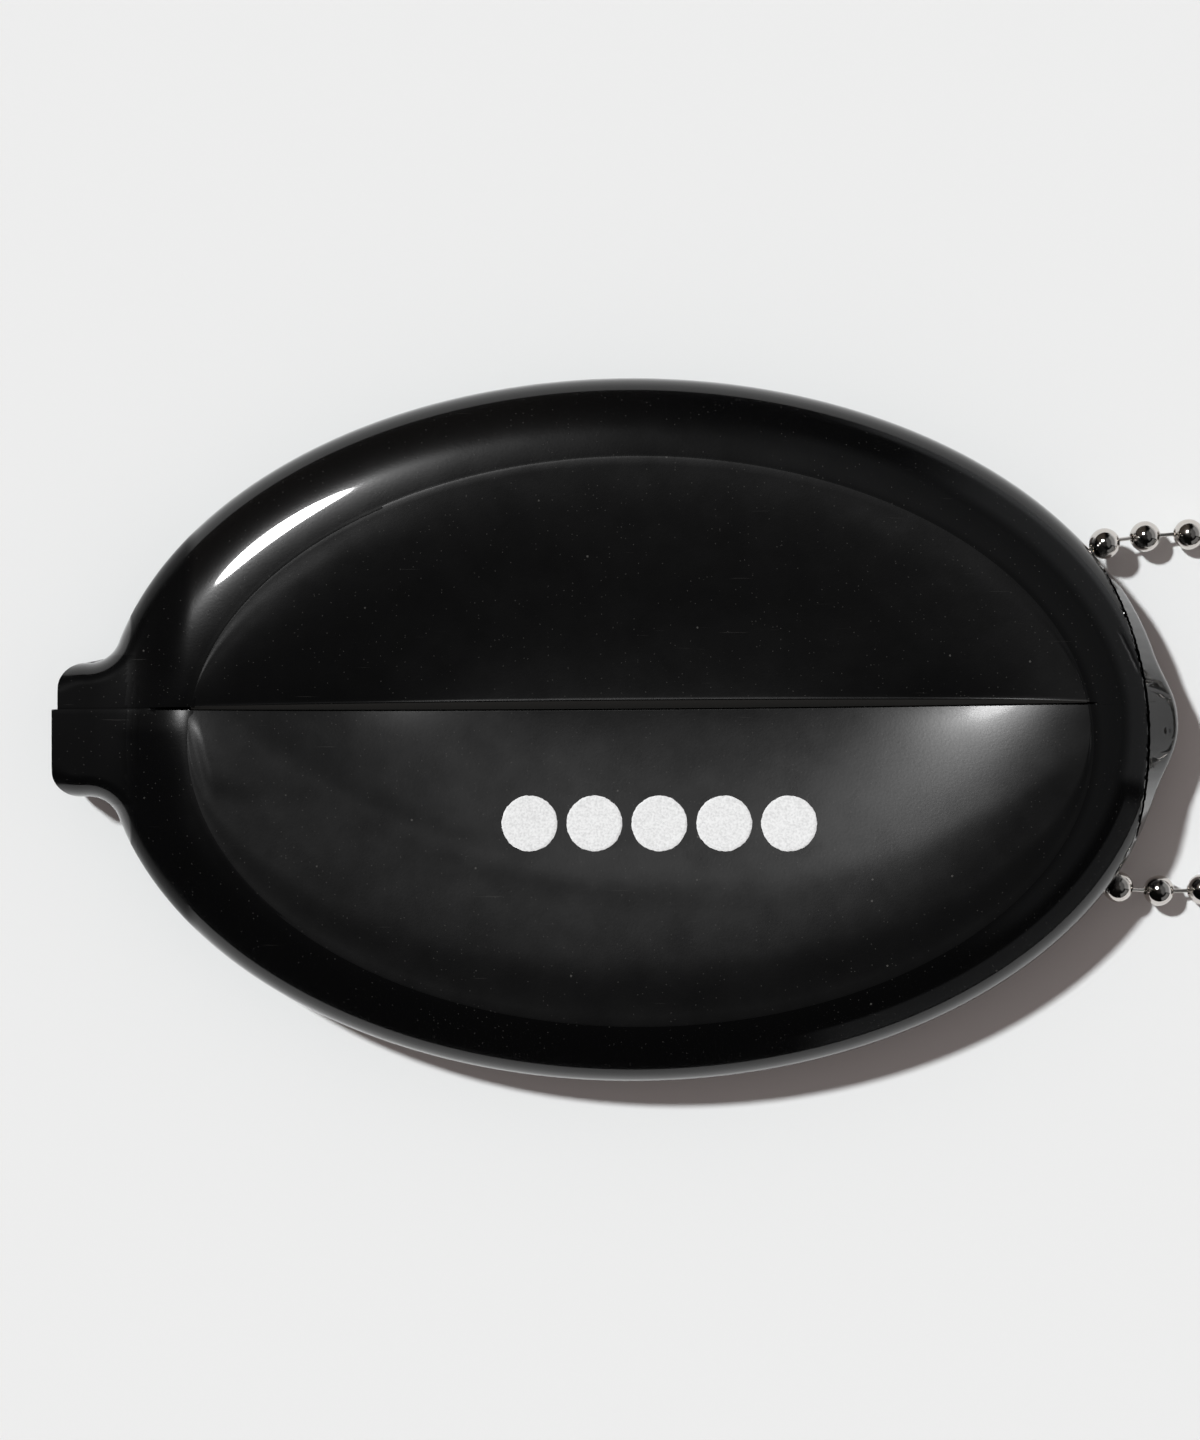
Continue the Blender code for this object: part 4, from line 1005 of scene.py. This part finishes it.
order = [f"bead_upper_{row}" for row in range(8, 0, -1)]
order += [f"bead_inner_{k}" for k in range(1, 10)]
order += [f"bead_lower_{row}" for row in range(1, 9)]
places = [ball_middle(name) for name in order]
hole_turn = math.asin(BEAD_HOLE / BEAD_RADIUS)
first_polar = hole_turn + HOLE_MARGIN
polar = np.linspace(first_polar, math.pi - first_polar, BEAD_ROWS)
outer = np.column_stack([BEAD_RADIUS * np.cos(polar), BEAD_RADIUS * np.sin(polar)])
rim_x = BEAD_RADIUS * math.cos(hole_turn)
mouth = np.array([rim_x, BEAD_HOLE]) + np.array(HOLE_EDGE)
profile = np.vstack([mouth, outer, mouth[::-1] * np.array([-1, 1])])
turns = np.sort(np.concatenate([full_turn(BEAD_STEPS), [-SEAM_ANGLE, SEAM_ANGLE]]))
seam = 1 - SEAM_GROOVE / BEAD_RADIUS * np.exp(-((turns / SEAM_ANGLE) ** 2) * 2)
radii = profile[:, 1, None] * seam
bead_points = np.stack([
    np.broadcast_to(profile[:, 0, None], radii.shape),
    radii * np.cos(turns),
    radii * np.sin(turns),
], axis=2).reshape(-1, 3)
bead_faces = [face[::-1] for face in capped_faces(len(profile), len(turns))]

axes = []
for k, middle in enumerate(places):
    before = (middle - places[k - 1]).normalized()
    after = (places[(k + 1) % len(places)] - middle).normalized()
    axes.append((before + after).normalized())

nickel, tree, surface = new_material("nickel_skin")
surface["Metallic"].default_value = 1.0
grain = mottling(tree, node(tree, "TexCoord", {}, "Object"), NICKEL_MOTTLE, 5.0)
tree.links.new(tinted(tree, grain, NICKEL_DARK, NICKEL_LIGHT), surface["Base Color"])
tree.links.new(ramp(tree, grain, *NICKEL_SPAN, *NICKEL_ROUGHNESS, "LINEAR"), surface["Roughness"])


def turned(points, axis, spin):
    """Points with their X axis turned to an axis, after a spin about it."""
    turn = axis.to_track_quat("X", "Z").to_matrix()
    spun = points.copy()
    spun[:, 1] = points[:, 1] * math.cos(spin) - points[:, 2] * math.sin(spin)
    spun[:, 2] = points[:, 1] * math.sin(spin) + points[:, 2] * math.cos(spin)
    return spun @ np.array(turn).T


def link_points(start, end):
    """A wire a little thinner in its middle, from inside one ball to inside the next."""
    length = (end - start).length
    along, thick = np.array(LINK_ALONG), LINK_RADIUS * np.array(LINK_THICKNESS)
    turns = full_turn(LINK_STEPS)
    x = np.broadcast_to(along[:, None] * length, (len(along), LINK_STEPS))
    y, z = thick[:, None] * np.cos(turns), thick[:, None] * np.sin(turns)
    points = np.stack([x, y, z], axis=2).reshape(-1, 3)
    return turned(points, end - start, 0.0) + np.array(start)


link_faces = capped_faces(len(LINK_ALONG), LINK_STEPS)
spins = np.random.default_rng(7).uniform(0, 2 * math.pi, len(order))
reach = rim_x - LINK_SINK
parts = {}
for body_name, members in frame["record"]["behaviour"]["bodies"].items():
    for k, bead_name in enumerate(order):
        if bead_name in members:
            shape = turned(bead_points, axes[k], spins[k]) + np.array(places[k])
            parts.setdefault(body_name, []).append((bead_name, shape, bead_faces))
for k in range(len(order) - 1):
    one, two = order[k], order[k + 1]
    if one.startswith("bead_upper") and two.startswith("bead_upper"):
        link_name = one.replace("bead", "link")
    elif one.startswith("bead_lower"):
        link_name = two.replace("bead", "link")
    else:
        link_name = f"link_inner_{k - 6}"
    shape = link_points(places[k] + axes[k] * reach, places[k + 1] - axes[k + 1] * reach)
    body_name = frame["nodes"][link_name]["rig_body"]
    parts[body_name].append((link_name, shape, link_faces))
for body_name, found in parts.items():
    points = np.vstack([shape for _, shape, _ in found])
    faces, start = [], 0
    for _, shape, own in found:
        faces += [[start + corner for corner in face] for face in own]
        start += len(shape)
    name = f"chain_on_{body_name}"
    strand = add_piece(name, skin(name, points, faces, 60), nickel)
    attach(strand, body_name)
    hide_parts(*[name for name, _, _ in found])

# Clasp: a strip of the same plated steel folded into a trough round the chain's two end balls. Its
# end walls are slotted for the last links, and every edge is tumbled round.
CLASP_OUTER, CLASP_WALL, CLASP_LEG = 2.2, 0.35, 1.6
CLASP_HALF_LENGTH = 5.5
CLASP_SLOT_HALF = 0.75
CLASP_STEPS, SLOT_STEPS = 48, 20
CLASP_EDGE, CLASP_OVERRUN = 0.1, 1.5


def trough(radius, leg, half_length, steps):
    """A closed bar: a half circle with two straight legs, carried along the end balls' line."""
    turns = np.linspace(-math.pi / 2, math.pi / 2, steps + 1)
    ahead = np.concatenate([[-leg], radius * np.cos(turns), [-leg]])
    upright = np.concatenate([[-radius], radius * np.sin(turns), [radius]])
    middle = np.array((places[0] + places[-1]) / 2)
    along = np.array((places[0] - places[-1]).normalized())
    out = np.cross(along, (0.0, 0.0, 1.0))
    ring = middle + np.outer(ahead, out) + np.outer(upright, (0.0, 0.0, 1.0))
    points = np.vstack([ring - along * half_length, ring + along * half_length])
    return points, capped_faces(2, len(ahead))


def outward(mesh):
    """The mesh with all its faces turned outwards."""
    bm = bmesh.new()
    bm.from_mesh(mesh)
    bmesh.ops.recalc_face_normals(bm, faces=bm.faces)
    bm.to_mesh(mesh)
    bm.free()
    return mesh


inner_radius = CLASP_OUTER - CLASP_WALL
bars = (
    (CLASP_OUTER, CLASP_LEG, CLASP_HALF_LENGTH, CLASP_STEPS),
    (inner_radius, CLASP_LEG + CLASP_OVERRUN, CLASP_HALF_LENGTH - CLASP_WALL, CLASP_STEPS),
    (CLASP_SLOT_HALF, CLASP_LEG + CLASP_OVERRUN, CLASP_HALF_LENGTH + CLASP_OVERRUN, SLOT_STEPS),
)
pieces = []
for k, sizes in enumerate(bars):
    points, faces = trough(*sizes)
    mesh = outward(skin(f"clasp_bar_{k}", points, faces, 30))
    pieces.append(add_piece(f"clasp_bar_{k}", mesh, nickel))
clasp = pieces[0]
clasp.name = "folded_clasp"
steps = [cut_away(clasp, cutter, "EXACT") for cutter in pieces[1:]]
edge = clasp.modifiers.new("tumbled_edges", "BEVEL")
edge.width = CLASP_EDGE * MM
edge.segments = 3
edge.limit_method = "ANGLE"
edge.angle_limit = math.radians(35)
steps.append(edge)
shaped(clasp, steps)
for cutter in pieces[1:]:
    bpy.data.objects.remove(cutter)
clasp.data.shade_smooth()
clasp.data.set_sharp_from_angle(angle=math.radians(30))
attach(clasp, "clasp")
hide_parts("chain_clasp")
